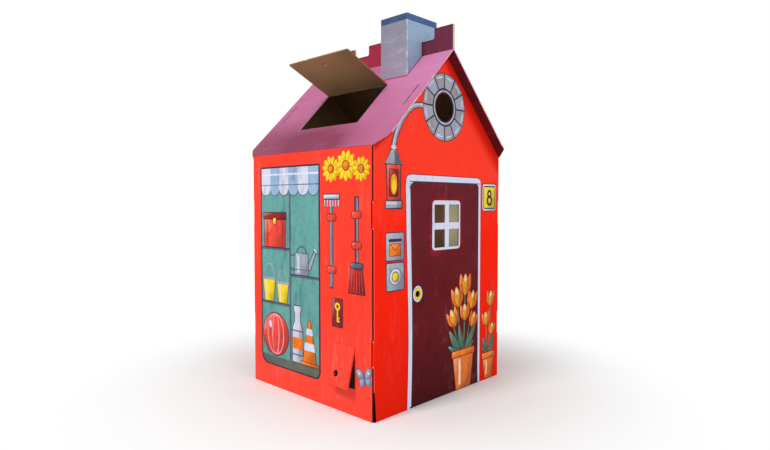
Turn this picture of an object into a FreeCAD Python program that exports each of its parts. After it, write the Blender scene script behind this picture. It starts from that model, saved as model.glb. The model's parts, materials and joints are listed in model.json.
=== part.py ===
"""Cardboard playhouse, folded and cut from five sheets of corrugated board.

Two side sheets each make a wall, a roof slope and half of the toothed crest.
Two gable sheets close the ends: tongues tuck through slots at the corner folds
and tabs stand up through slits in the roof. A folded chimney sleeve drops over
the crest and clamps its two halves. The door, the roof hatch and the small side
flap are cut from their sheets and swing on their folds.

Frame: +Z up, origin on the floor at the middle of the footprint. The gable with
the door faces -Y, the wall with the side flap faces -X, the ridge runs along Y.
Millimetres and degrees.
"""
import FreeCAD, Part
import math
import os
import Sketcher

SIZES = (
    # the board and its fits
    ("board", 4.0, "thickness of the corrugated board"),
    ("fold_inside", 1.0, "radius inside a fold"),
    ("face_gap", 0.3, "clearance between faces that lie together"),
    ("cut_gap", 0.5, "clearance at a cut edge"),
    ("slot_play", 0.8, "room around a tab or tongue in its slot"),
    ("ridge_gap", 0.6, "gap between the two halves of the crest"),
    # the house
    ("house_width", 650.0, "outside width, wall to wall"),
    ("house_length", 610.0, "outside length, gable to gable"),
    ("eave_height", 800.0, "floor to eave fold"),
    ("roof_pitch", 45.0, "slope of the roof, degrees"),
    ("roof_overhang", 36.0, "roof beyond each gable"),
    ("eave_chamfer", 36.0, "how far up the slope the eave corner is cut"),
    ("flange_width", 60.0, "corner flange folded in behind a gable"),
    ("flange_relief", 8.0, "flange stops this far below the eave"),
    # the crest
    ("crest_high", 80.0, "tooth above the ridge fold"),
    ("crest_low", 46.0, "crest between the teeth, above the ridge fold"),
    ("crest_teeth", 5.0, "teeth along the ridge"),
    ("crest_round", 7.0, "radius at the foot of a tooth"),
    # the gables and how they lock
    ("gable_inset", 5.0, "gable edge inside the wall's outer face"),
    ("tab_low", 183.0, "roof tab starts, along the slope from the eave"),
    ("tab_length", 95.0, "roof tab, along the slope"),
    ("tab_recess", 1.5, "tab's end below the roof surface"),
    ("tongue_height", 80.0, "tuck-in tongue, tall"),
    ("tongue_low", 158.0, "lower tongue starts above the floor"),
    ("tongue_rise", 402.0, "from the lower tongue to the upper one"),
    ("tongue_depth", 30.0, "tongue reaches in behind the wall"),
    ("porthole_radius", 47.0, "round hole in the front gable"),
    ("porthole_height", 942.0, "its middle above the floor"),
    # the chimney
    ("chimney_width", 155.0, "across the ridge"),
    ("chimney_depth", 120.0, "along the ridge"),
    ("chimney_rise", 123.0, "above the peak of the roof"),
    ("glue_lap", 30.0, "glued lap inside the sleeve"),
    # the door
    ("door_width", 364.0, "doorway, wide"),
    ("door_height", 700.0, "doorway, tall"),
    ("door_shift", 15.0, "doorway's middle beside the gable's middle"),
    ("door_foot", 2.0, "under the door"),
    ("pane_width", 54.0, "window pane, wide"),
    ("pane_height", 59.0, "window pane, tall"),
    ("pane_bar", 21.0, "bar between panes"),
    ("pane_round", 2.0, "radius at a pane's corners"),
    ("window_height", 560.0, "window's middle above the floor"),
    ("finger_radius", 9.5, "finger hole"),
    ("door_finger_edge", 36.0, "finger hole from the door's free edge"),
    ("door_finger_height", 353.0, "finger hole above the floor"),
    # the roof hatch
    ("hatch_width", 296.0, "opening along the ridge"),
    ("hatch_length", 196.0, "opening along the slope"),
    ("hatch_low", 121.0, "opening starts, along the slope from the eave"),
    ("hatch_finger_edge", 37.0, "finger hole from the free edge"),
    ("hatch_open", 70.0, "how far it stands open, degrees"),
    # the side flap
    ("flap_width", 90.0, "opening, wide"),
    ("flap_length", 127.0, "opening, tall"),
    ("flap_top", 208.0, "fold above the floor"),
    ("flap_shift", -182.0, "its middle beside the wall's middle"),
    ("flap_finger_edge", 38.0, "finger hole from the free edge"),
    ("flap_finger_shift", 17.0, "finger hole beside the flap's middle"),
    ("flap_open", 14.0, "how far it hangs open, degrees"),
    ("corner_round", 4.0, "radius at the free corners of flaps and flanges"),
)

LEFT, RIGHT = -1, 1
FRONT, REAR = -1, 1

doc = FreeCAD.newDocument("cardboard_playhouse")
sheet = doc.addObject("Spreadsheet::Sheet", "Sizes")
for row, (alias, size, meaning) in enumerate(SIZES, start=1):
    sheet.set(f"A{row}", alias)
    sheet.set(f"B{row}", str(size))
    sheet.set(f"C{row}", meaning)
    sheet.setAlias(f"B{row}", alias)
doc.recompute()

# Places worked out from the sizes, written as expressions on the sheet.
BOARD = "Sizes.board"
HALF_WIDTH = "(Sizes.house_width / 2)"
HALF_LENGTH = "(Sizes.house_length / 2)"
ROOF_END = f"({HALF_LENGTH} + Sizes.roof_overhang)"
PITCH_COS = "cos(Sizes.roof_pitch * 1 deg)"
PITCH_SIN = "sin(Sizes.roof_pitch * 1 deg)"
PITCH_TAN = "tan(Sizes.roof_pitch * 1 deg)"
FOLD_OUTSIDE = f"(Sizes.fold_inside + {BOARD})"
# the corner fold stands behind the gable sheet
CORNER = f"({HALF_LENGTH} - {BOARD} - Sizes.face_gap)"
CREST_OUTSIDE = f"({BOARD} + Sizes.ridge_gap / 2)"
RIDGE = f"(Sizes.eave_height + ({HALF_WIDTH} - {CREST_OUTSIDE}) * {PITCH_TAN})"
PEAK = f"(Sizes.eave_height + {HALF_WIDTH} * {PITCH_TAN})"
CREST_TOP = f"({RIDGE} + Sizes.crest_high)"
CREST_DIP = f"({RIDGE} + Sizes.crest_low)"
CREST_PITCH = f"(2 * {ROOF_END} / (2 * Sizes.crest_teeth - 1))"
DOOR_LEFT = "(Sizes.door_shift - Sizes.door_width / 2)"
DOOR_RIGHT = "(Sizes.door_shift + Sizes.door_width / 2)"
# the chimney stands astride the second tooth
CHIMNEY_MIDDLE = f"(2.5 * {CREST_PITCH} - {ROOF_END})"
PAST = "(5 * Sizes.board)"


def number(expression):
    """What an expression on the sheet gives now."""
    return float(sheet.evalExpression(expression.replace("Sizes.", "")))


def body_of(label):
    body = doc.addObject("PartDesign::Body", label)
    body.Label = label
    return body


def sketch_on(body, role, name, lift="0", along="0", tilt=None):
    """A sketch on one of the body's own planes, lifted off it, moved up it and tilted."""
    sketch = body.newObject("Sketcher::SketchObject", name)
    plane = next(item for item in body.Origin.OriginFeatures if item.Role == role)
    sketch.AttachmentSupport = [(plane, "")]
    sketch.MapMode = "FlatFace"
    if tilt is not None:
        turn = FreeCAD.Rotation(FreeCAD.Vector(1, 0, 0), number(tilt))
        sketch.AttachmentOffset = FreeCAD.Placement(FreeCAD.Vector(), turn)
        sketch.setExpression("AttachmentOffset.Rotation.Angle", tilt)
    sketch.setExpression("AttachmentOffset.Base.y", along)
    sketch.setExpression("AttachmentOffset.Base.z", lift)
    return sketch


def bind(sketch, constraint, expression):
    """Add a sized constraint and tie it to the sheet."""
    index = sketch.addConstraint(constraint)
    sketch.setExpression(f"Constraints[{index}]", expression)


def pin(sketch, item, end, across, up):
    """Hold one point of the sketch at (across, up)."""
    for kind, expression in (("DistanceX", across), ("DistanceY", up)):
        bind(sketch, Sketcher.Constraint(kind, -1, 1, item, end, number(expression)), expression)


def corner_geometry(before, here, after, radius):
    """Where the straight sides stop at a rounded corner, and its arc."""
    back = (before - here).normalize()
    ahead = (after - here).normalize()
    half = back.getAngle(ahead) / 2
    reach = radius / math.tan(half)
    middle = here + (back + ahead).normalize() * (radius / math.sin(half))
    start, finish = here + back * reach, here + ahead * reach
    left_turn = back.cross(ahead).z < 0
    first, last = (start, finish) if left_turn else (finish, start)
    angles = [math.atan2(spot.y - middle.y, spot.x - middle.x) for spot in (first, last)]
    circle = Part.Circle(middle, FreeCAD.Vector(0, 0, 1), radius)
    return start, finish, Part.ArcOfCircle(circle, *angles), left_turn


def outline(sketch, corners):
    """Close a loop through corners given as (across, up) or (across, up, radius)."""
    spots = [FreeCAD.Vector(number(item[0]), number(item[1]), 0) for item in corners]
    count = len(corners)
    bends = {}
    for index, item in enumerate(corners):
        if len(item) == 3:
            around = spots[index - 1], spots[index], spots[(index + 1) % count]
            bends[index] = corner_geometry(*around, number(item[2]))
    sides = []
    for index in range(count):
        following = (index + 1) % count
        start = bends[index][1] if index in bends else spots[index]
        finish = bends[following][0] if following in bends else spots[following]
        sides.append(sketch.addGeometry(Part.LineSegment(start, finish)))
    for index, item in enumerate(corners):
        arriving, leaving = sides[index - 1], sides[index]
        if index not in bends:
            sketch.addConstraint(Sketcher.Constraint("Coincident", arriving, 2, leaving, 1))
            pin(sketch, leaving, 1, item[0], item[1])
            continue
        arc = sketch.addGeometry(bends[index][2])
        first, last = (1, 2) if bends[index][3] else (2, 1)
        sketch.addConstraint(Sketcher.Constraint("Tangent", arc, first, arriving, 2))
        sketch.addConstraint(Sketcher.Constraint("Tangent", arc, last, leaving, 1))
        bind(sketch, Sketcher.Constraint("Radius", arc, number(item[2])), item[2])
        sharp = sketch.addGeometry(Part.Point(spots[index]), True)
        sketch.addConstraint(Sketcher.Constraint("PointOnObject", sharp, 1, arriving))
        sketch.addConstraint(Sketcher.Constraint("PointOnObject", sharp, 1, leaving))
        pin(sketch, sharp, 1, item[0], item[1])


def rectangle(sketch, left, right, low, high, low_round=None, high_round=None):
    """A rectangle, with round corners at its low or high side where asked."""
    low_end = (low_round,) if low_round else ()
    high_end = (high_round,) if high_round else ()
    outline(sketch, [
        (left, low) + low_end,
        (right, low) + low_end,
        (right, high) + high_end,
        (left, high) + high_end,
    ])


def round_hole(sketch, across, up, radius):
    spot = FreeCAD.Vector(number(across), number(up), 0)
    circle = Part.Circle(spot, FreeCAD.Vector(0, 0, 1), number(radius))
    item = sketch.addGeometry(circle)
    pin(sketch, item, 3, across, up)
    bind(sketch, Sketcher.Constraint("Radius", item, number(radius)), radius)


def pad(body, sketch, length, symmetric=False):
    feature = body.newObject("PartDesign::Pad", sketch.Name + "_pad")
    feature.Profile = sketch
    feature.SideType = "Symmetric" if symmetric else "One side"
    feature.setExpression("Length", length)
    return feature


def cut(body, sketch, length, symmetric=True, reversed_way=False):
    feature = body.newObject("PartDesign::Pocket", sketch.Name + "_cut")
    feature.Profile = sketch
    feature.SideType = "Symmetric" if symmetric else "One side"
    feature.Reversed = reversed_way
    feature.setExpression("Length", length)
    return feature


def inward(side, depth):
    """X at a depth inside the outer face of one wall."""
    return f"({side} * ({HALF_WIDTH} - ({depth})))"


def on_slope(side, along, lift):
    """X and Z of a point up one slope from the eave fold and lifted off the roof."""
    across = f"({side} * ({HALF_WIDTH} - ({along}) * {PITCH_COS} + ({lift}) * {PITCH_SIN}))"
    height = f"(Sizes.eave_height + ({along}) * {PITCH_SIN} + ({lift}) * {PITCH_COS})"
    return across, height


# ---- the side sheets: wall, corner flanges, roof slope and half of the crest ----

def roof_and_crest(body, side):
    """The strip that starts at the top of the wall, folds at the eave and at the ridge."""
    wall_top = "(Sizes.eave_height - Sizes.flange_relief)"
    inner_eave = f"(Sizes.eave_height + {BOARD} * {PITCH_TAN} - {BOARD} / {PITCH_COS})"
    inner_ridge = f"({PEAK} - Sizes.ridge_gap / 2 * {PITCH_TAN} - {BOARD} / {PITCH_COS})"
    crest_out = inward(side, f"{HALF_WIDTH} - {CREST_OUTSIDE}")
    crest_in = inward(side, f"{HALF_WIDTH} - Sizes.ridge_gap / 2")
    section = sketch_on(body, "XZ_Plane", "roof_section")
    outline(section, [
        (inward(side, "0"), wall_top),
        (inward(side, "0"), "Sizes.eave_height", FOLD_OUTSIDE),
        (crest_out, RIDGE, "Sizes.fold_inside"),
        (crest_out, CREST_TOP),
        (crest_in, CREST_TOP),
        (crest_in, inner_ridge, FOLD_OUTSIDE),
        (inward(side, BOARD), inner_eave, "Sizes.fold_inside"),
        (inward(side, BOARD), wall_top),
    ])
    pad(body, section, f"2 * {ROOF_END}", symmetric=True)

    ends = sketch_on(body, "YZ_Plane", "wall_ends")
    for end in (FRONT, REAR):
        rectangle(ends, f"{end} * {CORNER}", f"{end} * ({ROOF_END} + {PAST})",
                  f"{wall_top} - {PAST}", "Sizes.eave_height")
    cut(body, ends, f"2 * {HALF_WIDTH} + {PAST}")


def wall_and_flanges(body, side):
    """The wall, with a flange folded in at each corner, seen from above as a channel."""
    plan = sketch_on(body, "XY_Plane", "wall_plan")
    tip = inward(side, "Sizes.flange_width")
    outside, inside = inward(side, "0"), inward(side, BOARD)
    outline(plan, [
        (outside, f"-{CORNER}", FOLD_OUTSIDE),
        (tip, f"-{CORNER}"),
        (tip, f"-{CORNER} + {BOARD}"),
        (inside, f"-{CORNER} + {BOARD}", "Sizes.fold_inside"),
        (inside, f"{CORNER} - {BOARD}", "Sizes.fold_inside"),
        (tip, f"{CORNER} - {BOARD}"),
        (tip, CORNER),
        (outside, CORNER, FOLD_OUTSIDE),
    ])
    pad(body, plan, "Sizes.eave_height - Sizes.flange_relief")


def crest_gaps(body):
    """The low stretches between the teeth."""
    gaps = sketch_on(body, "YZ_Plane", "crest_gaps")
    for gap in range(int(number("Sizes.crest_teeth")) - 1):
        start = f"({2 * gap + 1} * {CREST_PITCH} - {ROOF_END})"
        rectangle(gaps, start, f"{start} + {CREST_PITCH}", CREST_DIP, f"{CREST_TOP} + {PAST}",
                  low_round="Sizes.crest_round")
    cut(body, gaps, PAST)


def tongue_slots(body, side):
    """Slots along the corner folds that let the gable tongues in."""
    reach = f"{BOARD} + Sizes.face_gap + {BOARD} + Sizes.slot_play"
    slots = sketch_on(body, "YZ_Plane", "tongue_slots", lift=inward(side, reach))
    for end in (FRONT, REAR):
        for rise in ("0", "Sizes.tongue_rise"):
            low = f"(Sizes.tongue_low + {rise} - Sizes.slot_play)"
            rectangle(slots, f"{end} * ({CORNER} - {BOARD} - Sizes.slot_play)",
                      f"{end} * ({CORNER} + {PAST})",
                      low, f"{low} + Sizes.tongue_height + 2 * Sizes.slot_play")
    cut(body, slots, f"{reach} + {PAST}", symmetric=False, reversed_way=side == RIGHT)


def slope_cuts(body, side, hatch):
    """Cut eave corners, slits for the gable tabs and, on one side, the hatch opening."""
    slope = sketch_on(body, "YZ_Plane", "slope_cuts", lift=inward(side, "0"),
                      along="Sizes.eave_height", tilt=f"{-side} * (90 - Sizes.roof_pitch)")
    for end in (FRONT, REAR):
        far = f"{end} * ({ROOF_END} + {PAST})"
        outline(slope, [
            (f"{end} * {HALF_LENGTH}", f"-{PAST}"),
            (far, f"-{PAST}"),
            (far, "Sizes.eave_chamfer"),
            (f"{end} * {ROOF_END}", "Sizes.eave_chamfer"),
            (f"{end} * {HALF_LENGTH}", "0"),
        ])
        rectangle(slope, f"{end} * ({HALF_LENGTH} - {BOARD} - Sizes.slot_play)",
                  f"{end} * ({HALF_LENGTH} + Sizes.slot_play)",
                  "Sizes.tab_low - Sizes.slot_play",
                  "Sizes.tab_low + Sizes.tab_length + Sizes.slot_play")
    if hatch:
        rectangle(slope, "-Sizes.hatch_width / 2", "Sizes.hatch_width / 2",
                  "Sizes.hatch_low", "Sizes.hatch_low + Sizes.hatch_length")
    cut(body, slope, f"2 * {PAST}")


def flap_opening(body, side):
    """The small opening low in the wall."""
    opening = sketch_on(body, "YZ_Plane", "flap_opening", lift=inward(side, "0"))
    rectangle(opening, "Sizes.flap_shift - Sizes.flap_width / 2",
              "Sizes.flap_shift + Sizes.flap_width / 2",
              "Sizes.flap_top - Sizes.flap_length", "Sizes.flap_top")
    cut(body, opening, f"2 * {PAST}")


def side_sheet(label, side, opened):
    body = body_of(label)
    roof_and_crest(body, side)
    wall_and_flanges(body, side)
    crest_gaps(body)
    tongue_slots(body, side)
    slope_cuts(body, side, opened)
    if opened:
        flap_opening(body, side)
    return body


# ---- the gable sheets ----

def gable_slope(side):
    """Corners up one sloping edge, eave first, with the tab that stands through the roof."""
    seat = f"(-({BOARD} + Sizes.face_gap))"
    eave = (inward(side, "Sizes.gable_inset"),
            f"(Sizes.eave_height + Sizes.gable_inset * {PITCH_TAN} + {seat} / {PITCH_COS})")
    tab_end = "(Sizes.tab_low + Sizes.tab_length)"
    return [
        eave,
        on_slope(side, "Sizes.tab_low", seat),
        on_slope(side, "Sizes.tab_low", "-Sizes.tab_recess"),
        on_slope(side, tab_end, "-Sizes.tab_recess"),
        on_slope(side, tab_end, seat),
    ]


def gable_edge(side):
    """Corners up one upright edge, with a notch at the root of each tongue."""
    edge = inward(side, "Sizes.gable_inset")
    root = inward(side, f"{BOARD} + Sizes.face_gap + {FOLD_OUTSIDE}")
    corners = [(edge, "0")]
    for rise in ("0", "Sizes.tongue_rise"):
        low = f"(Sizes.tongue_low + {rise} - Sizes.cut_gap)"
        high = f"({low} + Sizes.tongue_height + 2 * Sizes.cut_gap)"
        corners += [(edge, low), (root, low), (root, high), (edge, high)]
    return corners


def tongues(body, end):
    """Four tongues folded back at the corners, each lying inside its wall."""
    face = f"({end} * {HALF_LENGTH})"
    back = f"({end} * ({HALF_LENGTH} - {BOARD}))"
    tip = f"({end} * ({HALF_LENGTH} - {BOARD} - Sizes.tongue_depth))"
    for step, rise in enumerate(("0", "Sizes.tongue_rise")):
        plan = sketch_on(body, "XY_Plane", f"tongue_plan_{step}", lift=f"Sizes.tongue_low + {rise}")
        for side in (LEFT, RIGHT):
            outer = inward(side, f"{BOARD} + Sizes.face_gap")
            inner = inward(side, f"2 * {BOARD} + Sizes.face_gap")
            rooted = inward(side, f"{BOARD} + Sizes.face_gap + {FOLD_OUTSIDE} + {BOARD}")
            outline(plan, [
                (outer, face, FOLD_OUTSIDE),
                (rooted, face),
                (rooted, back),
                (inner, back, "Sizes.fold_inside"),
                (inner, tip),
                (outer, tip),
            ])
        pad(body, plan, "Sizes.tongue_height")


def gable_sheet(label, end):
    body = body_of(label)
    lift = f"{HALF_LENGTH} - {BOARD}" if end == FRONT else f"-{HALF_LENGTH}"
    face = sketch_on(body, "XZ_Plane", "gable_face", lift=lift)
    peak = [("0", f"({PEAK} - ({BOARD} + Sizes.face_gap) / {PITCH_COS})")]
    right = gable_edge(RIGHT) + gable_slope(RIGHT)
    left = gable_edge(LEFT) + gable_slope(LEFT)
    outline(face, right + peak + left[::-1])
    pad(body, face, BOARD)
    tongues(body, end)
    return body


def doorway_and_porthole(body):
    openings = sketch_on(body, "XZ_Plane", "front_openings", lift=HALF_LENGTH)
    rectangle(openings, DOOR_LEFT, DOOR_RIGHT, f"-{PAST}", "Sizes.door_height")
    round_hole(openings, "0", "Sizes.porthole_height", "Sizes.porthole_radius")
    cut(body, openings, f"4 * {BOARD}")


# ---- the chimney sleeve ----

def chimney_sleeve(label):
    body = body_of(label)
    half = "(Sizes.chimney_width / 2)"
    front = f"({CHIMNEY_MIDDLE} - Sizes.chimney_depth / 2)"
    rear = f"({CHIMNEY_MIDDLE} + Sizes.chimney_depth / 2)"
    foot = f"({PEAK} - {half} * {PITCH_TAN})"
    plan = sketch_on(body, "XY_Plane", "sleeve_plan", lift=foot)
    rectangle(plan, f"-{half}", half, front, rear, FOLD_OUTSIDE, FOLD_OUTSIDE)
    rectangle(plan, f"-{half} + {BOARD}", f"{half} - {BOARD}", f"{front} + {BOARD}",
              f"{rear} - {BOARD}", "Sizes.fold_inside", "Sizes.fold_inside")
    tall = f"{PEAK} + Sizes.chimney_rise - {foot}"
    pad(body, plan, tall)

    lap = sketch_on(body, "XY_Plane", "glue_lap", lift=foot)
    rectangle(lap, f"{half} - 2 * {BOARD} - Sizes.glue_lap", f"{half} - 2 * {BOARD}",
              f"{rear} - 2 * {BOARD}", f"{rear} - {BOARD}")
    pad(body, lap, tall)

    saddle = sketch_on(body, "XZ_Plane", "saddle", lift=f"-{CHIMNEY_MIDDLE}")
    wide = f"({half} + {PAST})"
    seat = f"({PEAK} + Sizes.face_gap / {PITCH_COS})"
    low = f"({foot} - 2 * {PAST} * {PITCH_TAN} - {PAST})"
    outline(saddle, [
        (f"-{wide}", low),
        (wide, low),
        (wide, f"{seat} - {wide} * {PITCH_TAN}"),
        ("0", seat),
        (f"-{wide}", f"{seat} - {wide} * {PITCH_TAN}"),
    ])
    cut(body, saddle, f"Sizes.chimney_depth + {PAST}")

    slots = sketch_on(body, "XZ_Plane", "crest_slots", lift=f"-{CHIMNEY_MIDDLE}")
    slot = f"({CREST_OUTSIDE} + Sizes.face_gap)"
    rectangle(slots, f"-{slot}", slot, f"{PEAK} - {PAST}", f"{CREST_DIP} + Sizes.face_gap")
    cut(body, slots, f"Sizes.chimney_depth + {PAST}")
    return body


# ---- the flaps that swing ----

def hanging_flap(label, width, length, finger_edge, finger_shift):
    """A flap in its own frame: fold along Y, outer face up, free end towards -X."""
    body = body_of(label)
    half = f"({width} / 2 - Sizes.cut_gap)"
    free = f"(Sizes.cut_gap - {length})"
    face = sketch_on(body, "XY_Plane", "flap_face", lift=f"-{BOARD}")
    outline(face, [
        (free, f"-{half}", "Sizes.corner_round"),
        ("-Sizes.face_gap", f"-{half}"),
        ("-Sizes.face_gap", half),
        (free, half, "Sizes.corner_round"),
    ])
    round_hole(face, f"{finger_edge} - {length}", finger_shift, "Sizes.finger_radius")
    pad(body, face, BOARD)
    return body


def hang(body, across, along, height, angle, axis):
    """Put a flap on its fold and turn it open."""
    body.Placement = FreeCAD.Placement(FreeCAD.Vector(), FreeCAD.Rotation(axis, number(angle)))
    body.setExpression("Placement.Base.x", across)
    body.setExpression("Placement.Base.y", along)
    body.setExpression("Placement.Base.z", height)
    body.setExpression("Placement.Rotation.Angle", angle)


def roof_hatch(label):
    body = hanging_flap(label, "Sizes.hatch_width", "Sizes.hatch_length",
                        "Sizes.hatch_finger_edge", "0")
    across, height = on_slope(LEFT, "Sizes.hatch_low + Sizes.hatch_length", "0")
    hang(body, across, "0", height, "Sizes.hatch_open - Sizes.roof_pitch", FreeCAD.Vector(0, 1, 0))
    return body


def side_flap(label):
    body = hanging_flap(label, "Sizes.flap_width", "Sizes.flap_length",
                        "Sizes.flap_finger_edge", "Sizes.flap_finger_shift")
    hang(body, inward(LEFT, "0"), "Sizes.flap_shift", "Sizes.flap_top",
         "Sizes.flap_open - 90", FreeCAD.Vector(0, 1, 0))
    return body


def door(label):
    """The door in its own frame: fold up the Z axis, outer face towards -Y."""
    body = body_of(label)
    free = "(Sizes.cut_gap - Sizes.door_width)"
    face = sketch_on(body, "XZ_Plane", "door_face", lift=f"-{BOARD}")
    rectangle(face, free, "-Sizes.face_gap", "Sizes.door_foot",
              "Sizes.door_height - Sizes.cut_gap")
    round_hole(face, "Sizes.door_finger_edge - Sizes.door_width", "Sizes.door_finger_height",
               "Sizes.finger_radius")
    for across in (LEFT, RIGHT):
        near = f"({across} * Sizes.pane_bar / 2 - Sizes.door_width / 2)"
        far = f"({near} + {across} * Sizes.pane_width)"
        for up in (-1, 1):
            foot = f"(Sizes.window_height + {up} * Sizes.pane_bar / 2)"
            head = f"({foot} + {up} * Sizes.pane_height)"
            rectangle(face, near, far, foot, head, "Sizes.pane_round", "Sizes.pane_round")
    pad(body, face, BOARD)
    hang(body, DOOR_RIGHT, f"-{HALF_LENGTH}", "0", "0", FreeCAD.Vector(0, 0, 1))
    return body


# ---- build, check and write ----

def build():
    front = gable_sheet("front_gable_sheet", FRONT)
    doorway_and_porthole(front)
    return [
        side_sheet("left_side_sheet", LEFT, opened=True),
        side_sheet("right_side_sheet", RIGHT, opened=False),
        front,
        gable_sheet("rear_gable_sheet", REAR),
        chimney_sleeve("chimney_sleeve"),
        door("door"),
        roof_hatch("roof_hatch"),
        side_flap("side_flap"),
    ]


def check(parts):
    """Stop at a failed object, a loose sketch or a part that isn't one sound solid."""
    for item in doc.Objects:
        if "Invalid" in item.State or "Error" in item.State:
            raise RuntimeError(f"{item.Label} failed: {item.State}")
    for part in parts:
        shape = part.Shape
        if shape.isNull() or not shape.isValid() or len(shape.Solids) != 1:
            raise RuntimeError(f"{part.Label} isn't one valid solid")


def write(parts):
    os.makedirs("parts", exist_ok=True)
    for part in parts:
        part.Shape.exportStep(f"parts/{part.Label}.step")
        box = part.Shape.BoundBox
        print(f"{part.Label}: {part.Shape.Volume:.0f} mm3, "
              f"{box.XMin:.1f}..{box.XMax:.1f}, {box.YMin:.1f}..{box.YMax:.1f}, "
              f"{box.ZMin:.1f}..{box.ZMax:.1f}")


parts = build()
doc.recompute()
check(parts)
write(parts)
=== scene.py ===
"""Finishes for a playhouse folded from corrugated board: paint, pictures, cut edges and creases.

Run as a script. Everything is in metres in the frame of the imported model: +Z up, the gable with
the door faces -Y, the wall with the roof hatch faces -X. Pictures are drawn in millimetres.
"""
import json
import math

import bmesh
import bpy
from bpy.props import FloatProperty, FloatVectorProperty, PointerProperty
from mathutils import Matrix, Vector, noise

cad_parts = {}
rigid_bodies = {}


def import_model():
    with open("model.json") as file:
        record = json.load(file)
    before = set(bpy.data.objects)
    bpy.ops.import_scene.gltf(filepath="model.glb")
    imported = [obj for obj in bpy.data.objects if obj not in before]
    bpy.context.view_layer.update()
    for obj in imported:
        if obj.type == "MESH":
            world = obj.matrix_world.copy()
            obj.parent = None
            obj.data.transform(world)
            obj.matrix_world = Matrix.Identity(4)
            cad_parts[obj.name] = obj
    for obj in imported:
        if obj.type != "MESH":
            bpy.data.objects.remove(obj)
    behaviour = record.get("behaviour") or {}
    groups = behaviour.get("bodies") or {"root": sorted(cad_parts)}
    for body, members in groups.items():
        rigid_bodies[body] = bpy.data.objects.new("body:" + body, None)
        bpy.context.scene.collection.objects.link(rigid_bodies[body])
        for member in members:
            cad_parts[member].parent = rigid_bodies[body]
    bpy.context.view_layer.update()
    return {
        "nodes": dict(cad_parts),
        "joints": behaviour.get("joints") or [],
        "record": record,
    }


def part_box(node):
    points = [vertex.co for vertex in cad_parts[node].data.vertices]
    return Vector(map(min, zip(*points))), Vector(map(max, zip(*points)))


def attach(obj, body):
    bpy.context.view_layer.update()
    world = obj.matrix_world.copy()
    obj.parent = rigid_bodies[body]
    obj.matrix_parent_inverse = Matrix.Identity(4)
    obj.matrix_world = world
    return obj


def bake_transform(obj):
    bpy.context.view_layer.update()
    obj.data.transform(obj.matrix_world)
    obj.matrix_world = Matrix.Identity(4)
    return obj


bl_info = {
    "name": "Cardboard Playhouse Finishes",
    "version": (1, 0, 0),
    "blender": (4, 5, 0),
    "location": "View3D > Sidebar > Playhouse",
    "description": "Paints and details a playhouse folded from corrugated board",
    "category": "Object",
}

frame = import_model()

MM = 0.001
SPREAD = "spread"
X, Y, Z = Vector((1, 0, 0)), Vector((0, 1, 0)), Vector((0, 0, 1))
HINGES = {joint["name"]: Vector(joint["pos_m"]) for joint in frame["joints"]}
OPENINGS = {item["name"]: item["box_m"] for item in frame["record"]["physics"]["openings"]}


def broad_face(node, towards):
    """Normal of a node's largest flat face that looks that way, and its distance from the origin."""
    areas = {}
    for polygon in frame["nodes"][node].data.polygons:
        if polygon.normal.dot(towards) > 0.85:
            key = tuple(round(value, 2) for value in polygon.normal)
            area, normal, spot = areas.get(key, (0, polygon.normal.copy(), polygon.center.copy()))
            areas[key] = (area + polygon.area, normal, spot)
    _, normal, spot = max(areas.values(), key=lambda face: face[0])
    return normal, normal.dot(spot)


def opening_middle(name):
    low, high = (Vector(corner) for corner in OPENINGS[name])
    return (low + high) / 2


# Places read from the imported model.
BOARD = 4 * MM
WALL_X = HINGES["flap_fold"].x
GABLE_Y = HINGES["door_fold"].y
SLOPE, SLOPE_DISTANCE = broad_face("left_side_sheet", (Z - X).normalized())
EAVE_Z = (SLOPE_DISTANCE - SLOPE.x * WALL_X) / SLOPE.z
CREST_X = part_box("left_side_sheet")[1].x - BOARD
RIDGE_Z = (SLOPE_DISTANCE - SLOPE.x * CREST_X) / SLOPE.z
CREST_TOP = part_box("left_side_sheet")[1].z
CHIMNEY_LOW, CHIMNEY_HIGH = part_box("chimney_sleeve")
DOOR_LOW, DOOR_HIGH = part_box("door")
HATCH_OUT = broad_face("roof_hatch", (2 * Z + X).normalized())[0]
FLAP_OUT = broad_face("side_flap", -X)[0]

# Places on the sheets that the model has no names for: teeth and dips of the crest, the eaves' cut
# corners, the slits (along the slope from the eave), the tongues (above the floor) and the flanges.
CREST_STEPS = 9
CREST_DIP = RIDGE_Z + 46 * MM
CHAMFER = 36 * MM
SLIT_Y = -GABLE_Y - BOARD / 2
SLIT_HALF = BOARD / 2 + 0.8 * MM
SLIT_ENDS = tuple(EAVE_Z + along * SLOPE.z * MM for along in (181, 280))
TONGUE_ENDS = (158, 238, 560, 640)
FLANGE_TOP = EAVE_Z - 5 * MM
WEDGE_WIDE, WEDGE_TALL = 11 * MM, 150 * MM

# Shades that belong to a place and not to one paint.
BRISTLE_DARK, BRISTLE_PALE = (0.02, 0.0, 0.02), (1.0, 0.97, 0.97)
PAPER_DARK, PAPER_PALE = (0.20, 0.13, 0.09), (0.86, 0.74, 0.60)
RUBBED = (0.95, 0.90, 0.88)
SCUFFED = (1.0, 0.58, 0.50)
EAVE_LINE = (0.45, 0.12, 0.20)
# Painted shade in the cut round a shut flap.
KNIFE_GAP_SHADE = (0.25, 0.06, 0.10)
# Painted shade in the seams at the wall's corner folds.
CORNER_FOLD_SHADE = (0.30, 0.03, 0.03)
# Painted shade in the gap where the gable's lower corner stands off the wall.
WEDGE_SHADE = (0.03, 0.008, 0.012)
# Dark mauve on the tabs' tops: the roof's paint, darkened as painted shade in the slits.
GABLE_RIM_MAUVE_SHADE = (0.33, 0.14, 0.22)
GABLE_LOW = (0.56, 0.05, 0.02)
# Painted shade under the roof's overhang on the gables.
GABLE_SHADE = (0.80, 0.03, 0.01)
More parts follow.
